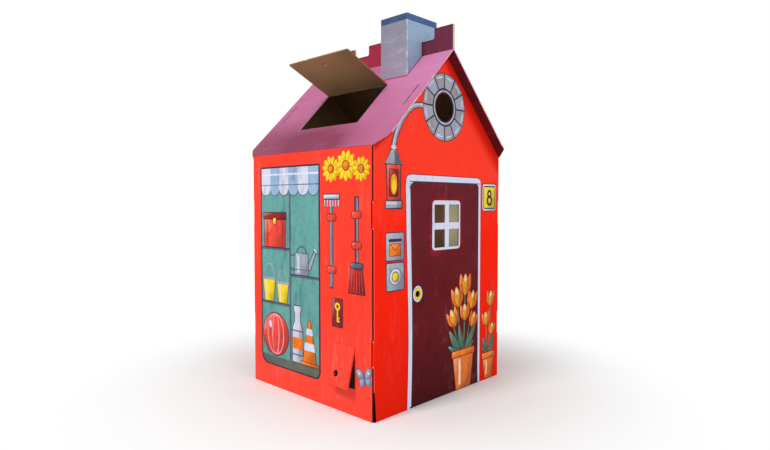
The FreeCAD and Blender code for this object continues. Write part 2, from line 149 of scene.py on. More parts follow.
# Painted shade on the flanges, seen only through the seams at the corners.
SEAM_SHADE = {"Color": (0.27, 0.04, 0.04), "Roughness": 0.85, "Height": 0.5}

# How light lies on paint, and the paints that are brushed on evenly.
PAINT_GLOSS, MATT_GLOSS = 0.16, 0.04
BUMP_DEPTH, BUMP_STRENGTH = 0.3 * MM, 0.6
EVEN_PAINTS = ("frame_white", "yellow", "ink")


# ---- properties that a user would change ----

def tint(name, description, red, green, blue):
    return FloatVectorProperty(name=name, description=description, subtype="COLOR_GAMMA", size=3,
                               min=0, max=1, default=(red, green, blue))


def length(name, description, default):
    return FloatProperty(name=name, description=description, default=default * MM, min=0,
                         subtype="DISTANCE", unit="LENGTH", precision=5)


class PlayhousePaints(bpy.types.PropertyGroup):
    """Colours of the board and of its paints."""
    wall_red: tint("Wall red", "Side walls", 0.96, 0.22, 0.14)
    wall_low: tint("Wall low", "Side walls near the floor", 1.0, 0.31, 0.24)
    gable_red: tint("Gable red", "Gables", 0.98, 0.13, 0.02)
    gable_light: tint("Gable light", "Gables above the door", 1.0, 0.26, 0.18)
    roof_mauve: tint("Roof mauve", "Roof slopes", 0.70, 0.395, 0.545)
    roof_pink: tint("Roof pink", "Roof slopes by the ridge and the gable", 0.76, 0.47, 0.64)
    roof_berry: tint("Roof berry", "Roof slopes near the eaves", 0.50, 0.20, 0.31)
    roof_dusk: tint("Roof dusk", "Roof slopes near the rear eaves", 0.45, 0.20, 0.29)
    crest_crimson: tint("Crest crimson", "Crest behind the chimney", 0.62, 0.14, 0.25)
    crest_plum: tint("Crest plum", "Crest before the chimney", 0.38, 0.12, 0.21)
    eaves_maroon: tint("Eaves maroon", "Underside of the roof's overhang", 0.40, 0.06, 0.09)
    chimney_mist: tint("Chimney mist", "Chimney towards the gable", 0.59, 0.70, 0.79)
    chimney_shade: tint("Chimney shade", "The same face lower down", 0.49, 0.57, 0.68)
    chimney_grey: tint("Chimney grey", "Chimney towards the wall", 0.515, 0.515, 0.575)
    chimney_mauve: tint("Chimney mauve", "The same face lower down", 0.60, 0.555, 0.63)
    chimney_blue: tint("Chimney blue", "Band round the chimney's top", 0.27, 0.39, 0.57)
    door_maroon: tint("Door maroon", "Door", 0.385, 0.095, 0.115)
    door_wine: tint("Door wine", "Lighter clouds on the door", 0.43, 0.14, 0.18)
    door_crimson: tint("Door crimson", "Door close round its window", 0.60, 0.10, 0.16)
    frame_white: tint("Frame white", "Door frame and window", 0.83, 0.85, 0.935)
    ink: tint("Ink", "Painted outlines", 0.17, 0.15, 0.22)
    slate: tint("Slate", "Dark handles and shelves", 0.33, 0.38, 0.46)
    steel: tint("Steel", "Metal in the pictures", 0.62, 0.64, 0.70)
    silver: tint("Silver", "Light on metal", 0.80, 0.81, 0.88)
    stone: tint("Stone", "Round window's stones", 0.60, 0.58, 0.61)
    teal: tint("Teal", "Cupboard", 0.38, 0.62, 0.60)
    sky: tint("Sky", "Awning", 0.58, 0.68, 0.80)
    olive: tint("Olive", "Cupboard floor", 0.38, 0.40, 0.36)
    yellow: tint("Yellow", "Buckets, flowers and plates", 0.95, 0.83, 0.12)
    amber: tint("Amber", "Flower hearts", 0.93, 0.60, 0.10)
    orange: tint("Orange", "Petals and cones", 0.95, 0.48, 0.10)
    coral: tint("Coral", "Ball and box", 0.91, 0.27, 0.20)
    pink: tint("Pink", "Bands of the ball", 0.95, 0.55, 0.60)
    brick: tint("Brick", "Dark red in the pictures", 0.58, 0.12, 0.12)
    cream: tint("Cream", "Light petals and pot", 0.94, 0.84, 0.68)
    clay: tint("Clay", "Flower pots", 0.88, 0.45, 0.18)
    leaf: tint("Leaf", "Leaves and stems", 0.30, 0.46, 0.36)
    kraft: tint("Kraft", "Bare board inside", 0.57, 0.43, 0.30)
    # Cream paper as a painted pool of light from the hatch, on the far wall inside.
    pale_paper: tint("Pale paper", "Inside of the wall across from the hatch", 1.0, 0.94, 0.76)
    # A lighter copy of the kraft, as painted light under the hatch.
    hatch_kraft: tint("Hatch kraft", "Bare board under the hatch", 0.63, 0.475, 0.33)
    cut_edge: tint("Cut edge", "Board at its cut edges", 0.85, 0.75, 0.66)
    liner: tint("Liner", "Paper facing seen at a cut edge", 0.93, 0.87, 0.83)
    flute: tint("Flute", "Wavy paper seen at a cut edge", 0.66, 0.52, 0.39)
    floor: tint("Floor", "Floor under the house", 0.93, 0.93, 0.93)


class PlayhouseSizes(bpy.types.PropertyGroup):
    """Sizes of the finishes."""
    paint: length("Paint", "Thickness of one coat in the pictures", 0.1)
    hand: length("Hand", "How far a painted line strays", 0.9)
    ink_line: length("Ink line", "Width of the painted outlines", 3.6)
    flute_pitch: length("Flute pitch", "From wave to wave inside the board", 7.6)
    flute_proud: length("Flute proud", "Height of the papers' ends at a cut edge", 0.12)
    liner: length("Liner", "Thickness of the papers at a cut edge", 0.45)
    crease_reach: length("Crease reach", "Creased paper on each side of a fold", 3.0)
    chimney_band: length("Chimney band", "Height of the band round the chimney's top", 21.0)
    crest_line: length("Crest line", "Darker line along the crest's top", 5.0)
    key_light: FloatProperty(name="Key light", description="Power of the large lamp", default=56.0,
                             min=0, unit="POWER")
    fill_light: FloatProperty(name="Fill light", description="Power of the second lamp",
                              default=34.0, min=0, unit="POWER")
    sky_light: FloatProperty(name="Sky light", description="Strength of the even light",
                             default=0.58, min=0)


def paints():
    return bpy.context.scene.playhouse_paints


def sizes():
    return bpy.context.scene.playhouse_sizes


def linear(colour):
    """A display colour as a shader reads it."""
    return tuple(value / 12.92 if value <= 0.04045 else ((value + 0.055) / 1.055) ** 2.4
                 for value in colour)


# ---- shader nodes ----

# What every paint and paper gives the shader.
SURFACE = {"Color": "Color", "Roughness": "Float", "Height": "Float"}


class Graph:
    """Short ways to add nodes to one tree and to join them."""

    def __init__(self, tree):
        self.tree = tree
        tree.nodes.clear()

    def add(self, kind, feeds=(), **settings):
        node = self.tree.nodes.new(kind)
        node.location = (200 * len(self.tree.nodes), 0)
        for key, value in settings.items():
            setattr(node, key, value)
        return self.join(node, feeds)

    def join(self, node, feeds):
        """Feed a node's inputs with sockets, colours and numbers."""
        for key, value in dict(feeds).items():
            socket = node.inputs[key]
            if isinstance(value, bpy.types.NodeSocket):
                self.tree.links.new(value, socket)
            elif socket.type == "RGBA":
                socket.default_value = (*linear(value), 1)
            else:
                socket.default_value = value
        return node

    def math(self, operation, *values, clamp=False):
        feeds = dict(enumerate(values))
        return self.add("ShaderNodeMath", feeds, operation=operation, use_clamp=clamp).outputs[0]

    def plus(self, first, second):
        return self.math("ADD", first, second)

    def minus(self, first, second):
        return self.math("SUBTRACT", first, second)

    def times(self, *values):
        """Values multiplied; masks multiplied are 1 where all of them are."""
        product = values[0]
        for value in values[1:]:
            product = self.math("MULTIPLY", product, value)
        return product

    def scaled(self, value, scale, offset):
        return self.math("MULTIPLY_ADD", value, scale, offset)

    def size(self, value):
        return self.math("ABSOLUTE", value)

    def off(self, value, middle):
        """How far a value is from a middle, either way."""
        return self.size(self.minus(value, middle))

    def above(self, value, limit):
        return self.math("GREATER_THAN", value, limit)

    def below(self, value, limit):
        return self.math("LESS_THAN", value, limit)

    def vector(self, operation, *values, output=0):
        feeds = dict(enumerate(values))
        return self.add("ShaderNodeVectorMath", feeds, operation=operation).outputs[output]

    def dot(self, first, second):
        return self.vector("DOT_PRODUCT", first, second, output=1)

    def distance(self, first, second):
        return self.vector("DISTANCE", first, second, output=1)

    def stretched(self, place, stretch):
        return self.vector("MULTIPLY", place, stretch)

    def parts(self, vector):
        return self.add("ShaderNodeSeparateXYZ", {0: vector}).outputs

    def place(self):
        return self.add("ShaderNodeTexCoord").outputs["Object"]

    def blend(self, share, first, second):
        """The first colour where share is 0, the second where it is 1."""
        feeds = {0: share, 6: first, 7: second}
        return self.add("ShaderNodeMix", feeds, data_type="RGBA").outputs[2]

    def ramp(self, value, start, end):
        """0 at start and 1 at end, smooth between them."""
        feeds = {0: value, 1: start, 2: end, 3: 0.0, 4: 1.0}
        return self.add("ShaderNodeMapRange", feeds, interpolation_type="SMOOTHSTEP").outputs[0]

    def noise(self, place, scale, detail=3.0, roughness=0.55):
        feeds = {"Vector": place, "Scale": scale, "Detail": detail, "Roughness": roughness}
        return self.add("ShaderNodeTexNoise", feeds).outputs["Fac"]

    def group(self, make, **feeds):
        """A shared effect, which its maker builds the first time it is asked for."""
        tree = bpy.data.node_groups.get(make.__name__) or make(make.__name__)
        return self.add("ShaderNodeGroup", feeds, node_tree=tree).outputs


def group_tree(name, inputs, outputs):
    """An empty node group with its sockets, its graph, its inputs and its end."""
    tree = bpy.data.node_groups.new(name, "ShaderNodeTree")
    for way, sockets in (("INPUT", inputs), ("OUTPUT", outputs)):
        for label, kind in sockets.items():
            tree.interface.new_socket(label, in_out=way, socket_type=f"NodeSocket{kind}")
    graph = Graph(tree)
    return tree, graph, graph.add("NodeGroupInput").outputs, graph.add("NodeGroupOutput")


def brushed_paint(name):
    """Poster paint laid on with a flat brush: streaks along the stroke, clouds and thin spots."""
    tree, graph, given, end = group_tree(
        name,
        {"Paint": "Color", "Deep": "Color", "Thin": "Color", "Stroke": "Vector", "Contrast": "Float",
         "Flutes": "Vector"},
        SURFACE,
    )
    place = graph.place()
    along = graph.stretched(place, given["Stroke"])
    streaks = graph.noise(along, 1.0, 4.0, 0.6)
    bristles = graph.noise(along, 4.5, 2.0, 0.5)
    clouds = graph.noise(place, 6.0, 3.0, 0.5)
    value = graph.scaled(streaks, 0.45, graph.times(clouds, 0.3))
    value = graph.scaled(bristles, 0.25, value)
    deep = graph.times(graph.ramp(value, 0.52, 0.36), given["Contrast"])
    thin = graph.times(graph.ramp(value, 0.52, 0.68), given["Contrast"])
    colour = graph.blend(deep, given["Paint"], given["Deep"])
    height = graph.scaled(bristles, 0.5, graph.times(streaks, 0.5))
    wave = graph.math("SINE", graph.dot(place, given["Flutes"]))
    graph.join(end, {
        "Color": graph.blend(thin, colour, given["Thin"]),
        "Roughness": graph.scaled(streaks, 0.3, 0.5),
        "Height": graph.scaled(wave, 0.12, height),
    })
    return tree


def kraft_paper(name):
    """Bare brown board: fibres, a faint washboard over the flutes and darker blotches."""
    tree, graph, given, end = group_tree(name, {"Paper": "Color", "Flutes": "Vector"}, SURFACE)
    place = graph.place()
    fibres = graph.noise(graph.stretched(place, (900.0, 900.0, 160.0)), 1.0)
    blotches = graph.noise(place, 9.0, 4.0)
    wave = graph.math("SINE", graph.dot(place, given["Flutes"]))
    dark = graph.blend(0.16, given["Paper"], PAPER_DARK)
    pale = graph.blend(0.22, given["Paper"], PAPER_PALE)
    colour = graph.blend(graph.ramp(blotches, 0.3, 0.7), dark, given["Paper"])
    colour = graph.blend(graph.times(graph.ramp(fibres, 0.5, 0.8), 0.7), colour, pale)
    graph.join(end, {
        "Color": graph.blend(graph.scaled(wave, 0.045, 0.045), colour, dark),
        "Roughness": graph.scaled(fibres, 0.15, 0.75),
        "Height": graph.scaled(wave, 0.35, graph.times(fibres, 0.3)),
    })
    return tree


def hand_line(name):
    """How far a hand-painted edge strays from true, in metres."""
    tree, graph, given, end = group_tree(name, {"Reach": "Float"}, {"Offset": "Float"})
    stray = graph.minus(graph.noise(graph.place(), 22.0, 2.0), 0.5)
    graph.join(end, {"Offset": graph.times(stray, given["Reach"])})
    return tree


def shade_of(colour, amount):
    """A darker or lighter neighbour of a display colour."""
    goal = 1.0 if amount > 0 else 0.0
    return tuple(value + (goal - value) * abs(amount) for value in colour)


def flute_waves(across):
    """What turns a place into the phase of the flutes that follow each other that way."""
    return across * (2 * math.pi / sizes().flute_pitch)


class Finish:
    """One material under way: where a place is, which way it faces, its paints and its shader."""

    def __init__(self, name):
        self.material = bpy.data.materials.new(name)
        self.material.use_nodes = True
        self.graph = Graph(self.material.node_tree)
        source = self.graph.add("ShaderNodeTexCoord").outputs
        self.place, self.normal = source["Object"], source["Normal"]
        self.spots, self.faces = self.graph.parts(self.place), self.graph.parts(self.normal)

    def fold_back(self, hinge, out, wall):
        """Read places as they are when a flap is pushed flat into its wall."""
        turn = {"Vector": self.place, "Center": hinge, "Axis": out.cross(wall).normalized(),
                "Angle": out.angle(wall)}
        self.place = self.graph.add("ShaderNodeVectorRotate", turn).outputs[0]
        self.spots = self.graph.parts(self.place)

    def facing(self, direction):
        return self.graph.above(self.graph.dot(self.normal, direction), 0.5)

    def stray(self, reach):
        """How far a painted edge strays here; reach is in millimetres."""
        return self.graph.group(hand_line, Reach=reach * MM)["Offset"]

    def brush(self, colour, stroke, contrast, deep=-0.25, thin=0.16, across=Vector()):
        """Brushed paint from a display colour or from a socket, over flutes that follow each other."""
        if isinstance(colour, bpy.types.NodeSocket):
            dark = self.graph.blend(abs(deep), colour, BRISTLE_DARK)
            pale = self.graph.blend(thin, colour, BRISTLE_PALE)
        else:
            dark, pale = shade_of(colour, deep), shade_of(colour, thin)
        return self.graph.group(brushed_paint, Paint=colour, Deep=dark, Thin=pale, Stroke=stroke,
                                Contrast=contrast, Flutes=flute_waves(across))

    def kraft(self, across, paper=None):
        """Bare board whose flutes follow each other in one direction."""
        paper = paints().kraft if paper is None else paper
        return self.graph.group(kraft_paper, Paper=paper, Flutes=flute_waves(across.normalized()))

    def edge(self, paint, share, paper=None):
        """Cut board, pale and mottled where the brush's overrun, given by its share, left it bare."""
        graph = self.graph
        paper = paints().cut_edge if paper is None else paper
        speck = graph.noise(self.place, 420.0)
        bare = graph.blend(graph.ramp(speck, 0.35, 0.7), paper, shade_of(paper, 0.25))
        overrun = graph.minus(graph.noise(self.place, 34.0), graph.scaled(share, -0.7, 0.85))
        colour = graph.blend(graph.ramp(overrun, -0.04, 0.06), bare, paint)
        return {"Color": colour, "Roughness": 0.8, "Height": speck}

    def stained(self, surface, mask, colour):
        """The same surface, of another colour where the mask is 1."""
        return dict(surface, Color=self.graph.blend(mask, surface["Color"], colour))

    def worn(self, surface, distance, reach):
        """Paint rubbed pale within reach of a fold."""
        near = self.graph.ramp(distance, reach * MM, reach * 0.3 * MM)
        patchy = self.graph.ramp(self.graph.noise(self.place, 60.0), 0.42, 0.6)
        pale = self.graph.blend(0.7, surface["Color"], RUBBED)
        return self.stained(surface, self.graph.times(near, patchy, 0.9), pale)

    def over(self, mask, lower, upper):
        """One finish laid over another where the mask is 1."""
        mixed = {"Color": self.graph.blend(mask, lower["Color"], upper["Color"])}
        for key in ("Roughness", "Height"):
            feeds = {0: mask, 2: lower[key], 3: upper[key]}
            mixed[key] = self.graph.add("ShaderNodeMix", feeds).outputs[0]
        return mixed

    def close(self, surface, gloss=PAINT_GLOSS):
        """The finished material."""
        bump = self.graph.add("ShaderNodeBump", {"Height": surface["Height"], "Strength": BUMP_STRENGTH,
                                                 "Distance": BUMP_DEPTH})
        shader = self.graph.add("ShaderNodeBsdfPrincipled", {
            "Base Color": surface["Color"],
            "Roughness": surface["Roughness"],
            "Normal": bump.outputs[0],
            "Specular IOR Level": gloss,
        })
        self.graph.add("ShaderNodeOutputMaterial", {"Surface": shader.outputs[0]})
        return self.material


def painted(key):
    """The material of one paint in the pictures: lit from the upper left, shaded at the lower right."""
    name = f"paint_{key}"
    if name in bpy.data.materials:
        return bpy.data.materials[name]
    colour = getattr(paints(), key)
    finish = Finish(name)
    graph = finish.graph
    surface = finish.brush(colour, (60.0, 60.0, 22.0), 0.35 if key in EVEN_PAINTS else 0.8)
    spread = graph.add("ShaderNodeAttribute", attribute_name=SPREAD).outputs["Vector"]
    right, up, modelled = graph.parts(spread)
    lean = graph.scaled(up, -0.45, graph.times(right, 0.75))
    lean = graph.plus(lean, graph.times(graph.noise(finish.place, 45.0), 0.5))
    shade = graph.times(graph.ramp(lean, 0.38, 0.78), modelled, 0.55)
    light = graph.times(graph.ramp(lean, 0.22, -0.12), modelled, 0.5)
    red, green, blue = (value * 0.52 for value in colour)
    surface = finish.stained(surface, shade, (red, green, min(1, blue + 0.05)))
    return finish.close(finish.stained(surface, light, shade_of(colour, 0.5)))


# ---- the board's own finishes ----

def scuffs(finish):
    """Pale streaks rubbed up and down."""
    graph = finish.graph
    streaks = graph.noise(graph.stretched(finish.place, (90.0, 110.0, 16.0)), 1.0)
    patches = graph.ramp(graph.noise(finish.place, 14.0, 2.0), 0.48, 0.62)
    return graph.times(graph.ramp(streaks, 0.52, 0.68), patches, 0.28)


def slope_depth(finish):
    """How far a place lies under the roof's outer face, on either slope."""
    graph, (x, _, z) = finish.graph, finish.spots
    level = graph.times(graph.size(x), abs(SLOPE.x))
    return graph.minus(SLOPE_DISTANCE, graph.plus(level, graph.times(z, SLOPE.z)))


def crest_rim(finish):
    """How far a place on the crest lies under its toothed top, in steps of equal length."""
    graph, (_, y, z) = finish.graph, finish.spots
    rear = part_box("left_side_sheet")[1].y
    pair = 2 * 2 * rear / CREST_STEPS
    turn = graph.math("FRACT", graph.math("DIVIDE", graph.plus(y, rear), pair))
    drop = graph.times(graph.above(turn, 0.5), CREST_TOP - CREST_DIP)
    return graph.minus(graph.minus(CREST_TOP, drop), z)


def tongue_end(finish):
    """How far a place is from the nearest end of a tongue, up or down."""
    graph = finish.graph
    nearest, *others = (graph.off(finish.spots[2], end * MM) for end in TONGUE_ENDS)
    for gap in others:
        nearest = graph.math("MINIMUM", nearest, gap)
    return nearest


def roof_paint(finish):
    """Mauve, bright near the ridge and the gable, dusky and redder towards the eaves."""
    graph, colours, (_, y, z) = finish.graph, paints(), finish.spots
    sweeps = graph.noise(graph.stretched(finish.place, (10.0, 3.0, 10.0)), 1.0, 4.0, 0.6)
    low = graph.plus(graph.ramp(z, 0.95, EAVE_Z), graph.scaled(sweeps, 1.5, -0.75))
    low = graph.times(low, graph.scaled(graph.ramp(y, -0.08, GABLE_Y), -0.8, 1.0))
    centre = graph.times(graph.ramp(graph.off(y, 0.02), 0.22, 0.04), graph.ramp(z, 0.94, 0.84))
    low = graph.scaled(centre, 0.6, low)
    rear = graph.times(graph.ramp(y, -0.05, 0.25), graph.ramp(z, 1.0, EAVE_Z + 0.02), 0.45)
    bright = graph.times(graph.ramp(y, 0.05, GABLE_Y), graph.ramp(z, 0.86, RIDGE_Z))
    mauve = graph.blend(bright, colours.roof_mauve, colours.roof_pink)
    mauve = graph.blend(graph.math("MULTIPLY", low, 0.75, clamp=True), mauve, colours.roof_berry)
    mauve = graph.blend(rear, mauve, colours.roof_dusk)
    return finish.brush(mauve, (42.0, 9.0, 42.0), 0.6, deep=-0.13, thin=0.07, across=Y)


def corner_wedge(finish):
    """Where the gable's lower corner stands off the wall: a wedge of painted shade, widest at the floor.
    """
    graph, (x, y, z) = finish.graph, finish.spots
    wide = graph.scaled(z, -WEDGE_WIDE / WEDGE_TALL, WEDGE_WIDE + 0.5 * MM)
    spare = graph.minus(graph.plus(wide, finish.stray(1.0)), graph.minus(x, WALL_X))
    return graph.times(graph.above(spare, 0.0), graph.below(y, 0.0), graph.below(z, WEDGE_TALL))


def edge_paint(finish, node):
    """The paint that ran over a node's cut edges, and how much of them it covers."""
    colours, graph, (x, _, z) = paints(), finish.graph, finish.spots
    if "side_sheet" in node:
        roof, crest = graph.above(z, EAVE_Z + CHAMFER), graph.above(z, RIDGE_Z + 4 * MM)
        colour = graph.blend(roof, shade_of(colours.wall_red, -0.35), shade_of(colours.roof_pink, 0.25))
        colour = graph.blend(crest, colour, colours.crest_plum)
        return colour, graph.scaled(crest, -0.3, graph.scaled(roof, -0.22, 0.85))
    if "gable" in node:
        # Cut edges under the roof, whose tabs show in the slits, are dark mauve with painted shade.
        under_roof = graph.below(slope_depth(finish), BOARD * 0.9)
        colour = graph.blend(under_roof, shade_of(colours.wall_red, 0.1), GABLE_RIM_MAUVE_SHADE)
        # The round hole's cut edges are dark slate: the rim's paint run over them, darker as painted
        # shade in the hole.
        from_hole = graph.distance(finish.place, opening_middle("porthole"))
        colour = graph.blend(graph.below(from_hole, 0.06), colour, shade_of(colours.slate, -0.4))
        # The gable's cut edge is painted dark in the same wedge, as painted shade.
        wedge = corner_wedge(finish)
        return graph.blend(wedge, colour, WEDGE_SHADE), graph.scaled(wedge, 0.1, 0.9)
    if node == "door":
        on_rim = graph.above(graph.off(x, HINGES["door_fold"].x), 0.1)
        return graph.blend(on_rim, colours.ink, colours.kraft), 0.7
    if node == "side_flap":
        # The finger hole's cut edges are near black, as painted shade in the hole.
        from_hole = graph.distance(finish.place, opening_middle("flap_finger_hole"))
        hole_shade = graph.below(from_hole, 0.013)
        return graph.blend(hole_shade, colours.wall_red, shade_of(colours.slate, -0.6)), 0.8
    known = {"chimney_sleeve": (colours.chimney_mist, 0.45), "roof_hatch": (colours.kraft, 0.8)}
    return known[node]


def faced(finish, node, mask, face):
    """A node's painted face, and at its cut edges the board with what paint ran over it."""
    return finish.over(mask, finish.edge(*edge_paint(finish, node)), face)


def wall_paint(finish, side):
    """Red in upright strokes, lighter near the floor and scuffed by the flap."""
    graph, colours, (_, y, z) = finish.graph, paints(), finish.spots
    low = graph.times(graph.ramp(z, 0.36, 0.02), 0.5)
    wall = finish.brush(graph.blend(low, colours.wall_red, colours.wall_low), (40.0, 40.0, 4.0), 0.6,
                        deep=-0.13, thin=0.08, across=Y)
    if side > 0:
        return wall
    by_flap = graph.times(graph.ramp(z, 0.36, 0.2), graph.ramp(y, -0.08, -0.16))
    return finish.stained(wall, graph.times(scuffs(finish), by_flap), SCUFFED)


def slope_paint(finish):
    """The roof's paint, with crimson painted shade at the chimney's foot and plum painted shade round the
    slits.
    """
    graph, colours, (x, y, z) = finish.graph, paints(), finish.spots
    middle = (CHIMNEY_LOW.y + CHIMNEY_HIGH.y) / 2
    from_chimney = graph.minus(graph.off(y, middle), CHIMNEY_HIGH.y - middle + 4 * MM)
    chimney_foot_shade = graph.times(graph.below(graph.size(x), CHIMNEY_HIGH.x + 5 * MM),
                          graph.below(graph.plus(from_chimney, finish.stray(4.0)), 0.0), 0.85)
    slit_shade = graph.times(graph.below(graph.off(graph.size(y), SLIT_Y), SLIT_HALF + 0.8 * MM),
                          graph.above(z, SLIT_ENDS[0]), graph.below(z, SLIT_ENDS[1]), 0.85)
    slope = finish.stained(roof_paint(finish), chimney_foot_shade, colours.crest_crimson)
    return finish.stained(slope, slit_shade, colours.crest_plum)


def crest_paint(finish):
    """Crimson behind the chimney, plum before it, darker along the top."""
    graph, colours = finish.graph, paints()
    front = graph.ramp(finish.spots[1], CHIMNEY_HIGH.y, CHIMNEY_LOW.y)
    crest = finish.brush(graph.blend(front, colours.crest_crimson, colours.crest_plum),
                         (50.0, 50.0, 9.0), 0.8, deep=-0.2, thin=0.05)
    rim = graph.below(graph.plus(crest_rim(finish), finish.stray(2.0)), sizes().crest_line)
    return finish.stained(crest, graph.times(rim, 0.55), shade_of(colours.crest_plum, -0.4))


def side_sheet_outside(finish, side, outward):
    """Wall, slope and crest, with a dark line at the eave and painted shade at the corner folds."""
    graph, (_, y, z) = finish.graph, finish.spots
    on_roof = graph.above(graph.plus(z, finish.stray(5.0)), EAVE_Z)
    surface = finish.over(on_roof, wall_paint(finish, side), slope_paint(finish))
    from_eave = graph.plus(graph.off(z, EAVE_Z - 1 * MM), finish.stray(3.0))
    line = graph.times(graph.ramp(from_eave, 2.2 * MM, 0.8 * MM), 0.5)
    surface = finish.stained(surface, line, EAVE_LINE)
    on_crest = graph.times(graph.above(graph.plus(z, finish.stray(1.5)), RIDGE_Z),
                           graph.above(outward, 0.85))
    surface = finish.over(on_crest, surface, crest_paint(finish))
    # Painted shade where the corner folds meet the gables.
    fold_shade = graph.ramp(graph.size(y), -GABLE_Y - 8 * MM, -GABLE_Y - 5.5 * MM)
    return finish.stained(surface, graph.times(fold_shade, graph.below(z, FLANGE_TOP)), CORNER_FOLD_SHADE)


def side_sheet_inside(finish, side):
    """Bare board, maroon under the overhang. Half of the wall that the panes look on is papered pale
    cream as a painted pool of light from the hatch.
    """
    graph, (_, y, z) = finish.graph, finish.spots
    bare = finish.kraft(Y)
    if side > 0:
        # Pale cream where light through the hatch would fall: a painted pool of light.
        share = graph.times(graph.ramp(z, 0.72, 0.66), graph.ramp(y, -0.052, -0.056), 0.95)
        bare = finish.stained(bare, share, paints().pale_paper)
    overhang = graph.times(graph.above(graph.size(y), -GABLE_Y), graph.above(z, EAVE_Z - BOARD))
    return finish.over(overhang, bare, finish.brush(paints().eaves_maroon, (20.0, 4.0, 20.0), 0.7))


def side_sheet_finish(name, side):
    """Red wall, mauve slope and crimson crest outside, kraft inside, pale at the cuts, and painted shade
    on the flanges seen through the seams.
    """
    finish = Finish(name)
    graph, (_, y, z), (nx, ny, nz) = finish.graph, finish.spots, finish.faces
    outward = graph.times(nx, float(side))
    outer = graph.times(graph.above(outward, 0.25), graph.above(nz, -0.3))
    inner = graph.times(graph.below(outward, -0.25), graph.below(nz, 0.3))
    flange = graph.times(graph.above(graph.size(ny), 0.7),
                         graph.above(graph.size(y), -GABLE_Y - 15 * MM), graph.below(z, FLANGE_TOP))
    to_room = graph.times(flange, graph.below(graph.times(ny, y), 0.0))
    whole = faced(finish, "side_sheet", outer, side_sheet_outside(finish, side, outward))
    whole = finish.over(inner, whole, side_sheet_inside(finish, side))
    # Dark paint on the flanges' outer faces, as painted shade in the seams.
    whole = finish.over(flange, whole, SEAM_SHADE)
    return finish.close(finish.over(to_room, whole, finish.kraft(Y)))


def gable_shade(finish, red):
    """Darker towards the floor, with painted shade under the overhang that reaches further down on the
    right.
    """
    graph, (x, _, z) = finish.graph, finish.spots
    low = graph.times(graph.ramp(z, 0.5, -0.1), 0.35)
    depth = graph.plus(slope_depth(finish), finish.stray(16.0))
    wide = graph.scaled(graph.ramp(x, -0.1, 0.1), 0.03, 0.016)
    shaded = graph.times(graph.ramp(graph.math("DIVIDE", depth, wide), 1.5, 0.5), 0.8)
    return finish.stained(finish.stained(red, low, GABLE_LOW), shaded, GABLE_SHADE)


def gable_finish(name, end):
    """Red in upright strokes, lighter above the door, kraft inside, rubbed at the tongues."""
    colours, finish = paints(), Finish(name)
    graph, (x, y, z), (nx, ny, _) = finish.graph, finish.spots, finish.faces
    outward = graph.times(ny, float(end))
    behind = graph.below(graph.size(y), -GABLE_Y - BOARD - 0.1 * MM)
    folded = graph.times(graph.above(graph.times(nx, x), 0.05),
                         graph.above(graph.size(x), -WALL_X - 12 * MM))
    inner = graph.math("MAXIMUM", graph.below(outward, -0.5),
                       graph.times(behind, graph.below(outward, 0.3)))
    high = graph.times(graph.ramp(z, 0.5, 0.76), 0.75)
    red = finish.brush(graph.blend(high, colours.gable_red, colours.gable_light), (16.0, 16.0, 5.0), 0.5,
                       deep=-0.1, thin=0.04, across=X)
    whole = faced(finish, "gable", graph.above(outward, 0.25), gable_shade(finish, red))
    whole = finish.over(inner, whole, finish.kraft(X))
    turned_in = finish.worn(red, tongue_end(finish), 7)
    whole = finish.over(graph.times(behind, folded), whole, turned_in)
    # Painted shade in the wedge where the gable's corner stands off the wall.
    return finish.close(finish.stained(whole, corner_wedge(finish), WEDGE_SHADE), MATT_GLOSS)


def chimney_outside(finish, toward_wall, middle):
    """Mist towards the gable, grey towards the wall, rubbed at the corners, and a blue band on top that
    is darker towards the wall as painted shade.
    """
    graph, colours, (x, y, z) = finish.graph, paints(), finish.spots
    low = graph.ramp(z, CHIMNEY_HIGH.z - 0.06, CHIMNEY_LOW.z + 0.02)
    grey = graph.blend(graph.times(low, 0.7), colours.chimney_grey, colours.chimney_mauve)
    mist = graph.blend(graph.times(low, 0.6), colours.chimney_mist, colours.chimney_shade)
    body = finish.brush(graph.blend(toward_wall, mist, grey), (9.0, 9.0, 45.0), 0.8, deep=-0.14,
                        thin=0.15, across=X + Y)
    from_x = graph.minus(CHIMNEY_HIGH.x, graph.size(x))
    from_y = graph.minus(CHIMNEY_HIGH.y - middle.y, graph.off(y, middle.y))
    body = finish.worn(body, graph.math("MAXIMUM", from_x, from_y), 3.5)
    # One blue paint, darkened on the faces towards the wall as painted shade.
    blue = graph.blend(toward_wall, colours.chimney_blue, shade_of(colours.chimney_blue, -0.24))
    top = graph.above(graph.plus(z, finish.stray(2.0)), CHIMNEY_HIGH.z - sizes().chimney_band)
    return finish.over(top, body, finish.brush(blue, (10.0, 10.0, 60.0), 0.8))


def chimney_finish(name):
    """Painted on its four outer faces, kraft inside."""
    finish = Finish(name)
    graph, (nx, _, nz) = finish.graph, finish.faces
    middle = (CHIMNEY_LOW + CHIMNEY_HIGH) / 2
    from_axis = graph.stretched(graph.vector("SUBTRACT", finish.place, middle), (1, 1, 0))
    reach = graph.dot(from_axis, finish.normal)
    upright = graph.below(graph.size(nz), 0.5)
    outer = graph.times(graph.above(reach, 0.05), upright)
    inner = graph.times(graph.below(reach, -0.04), upright)
    painted_faces = chimney_outside(finish, graph.above(graph.size(nx), 0.7), middle)
    whole = faced(finish, "chimney_sleeve", outer, painted_faces)
    return finish.close(finish.over(inner, whole, finish.kraft(X + Y)))


def flap_finish(node, out, front, back, gloss=PAINT_GLOSS):
    """A flap painted on the side that looks out, bare board behind.

    Its cut edges come first: they are read where they are, and the paint as if the flap were shut.
    """
    finish = Finish(f"{node}_finish")
    cut = finish.edge(*edge_paint(finish, node))
    whole = finish.over(finish.facing(out), cut, front(finish))
    return finish.close(finish.over(finish.facing(-out), whole, back(finish)), gloss)


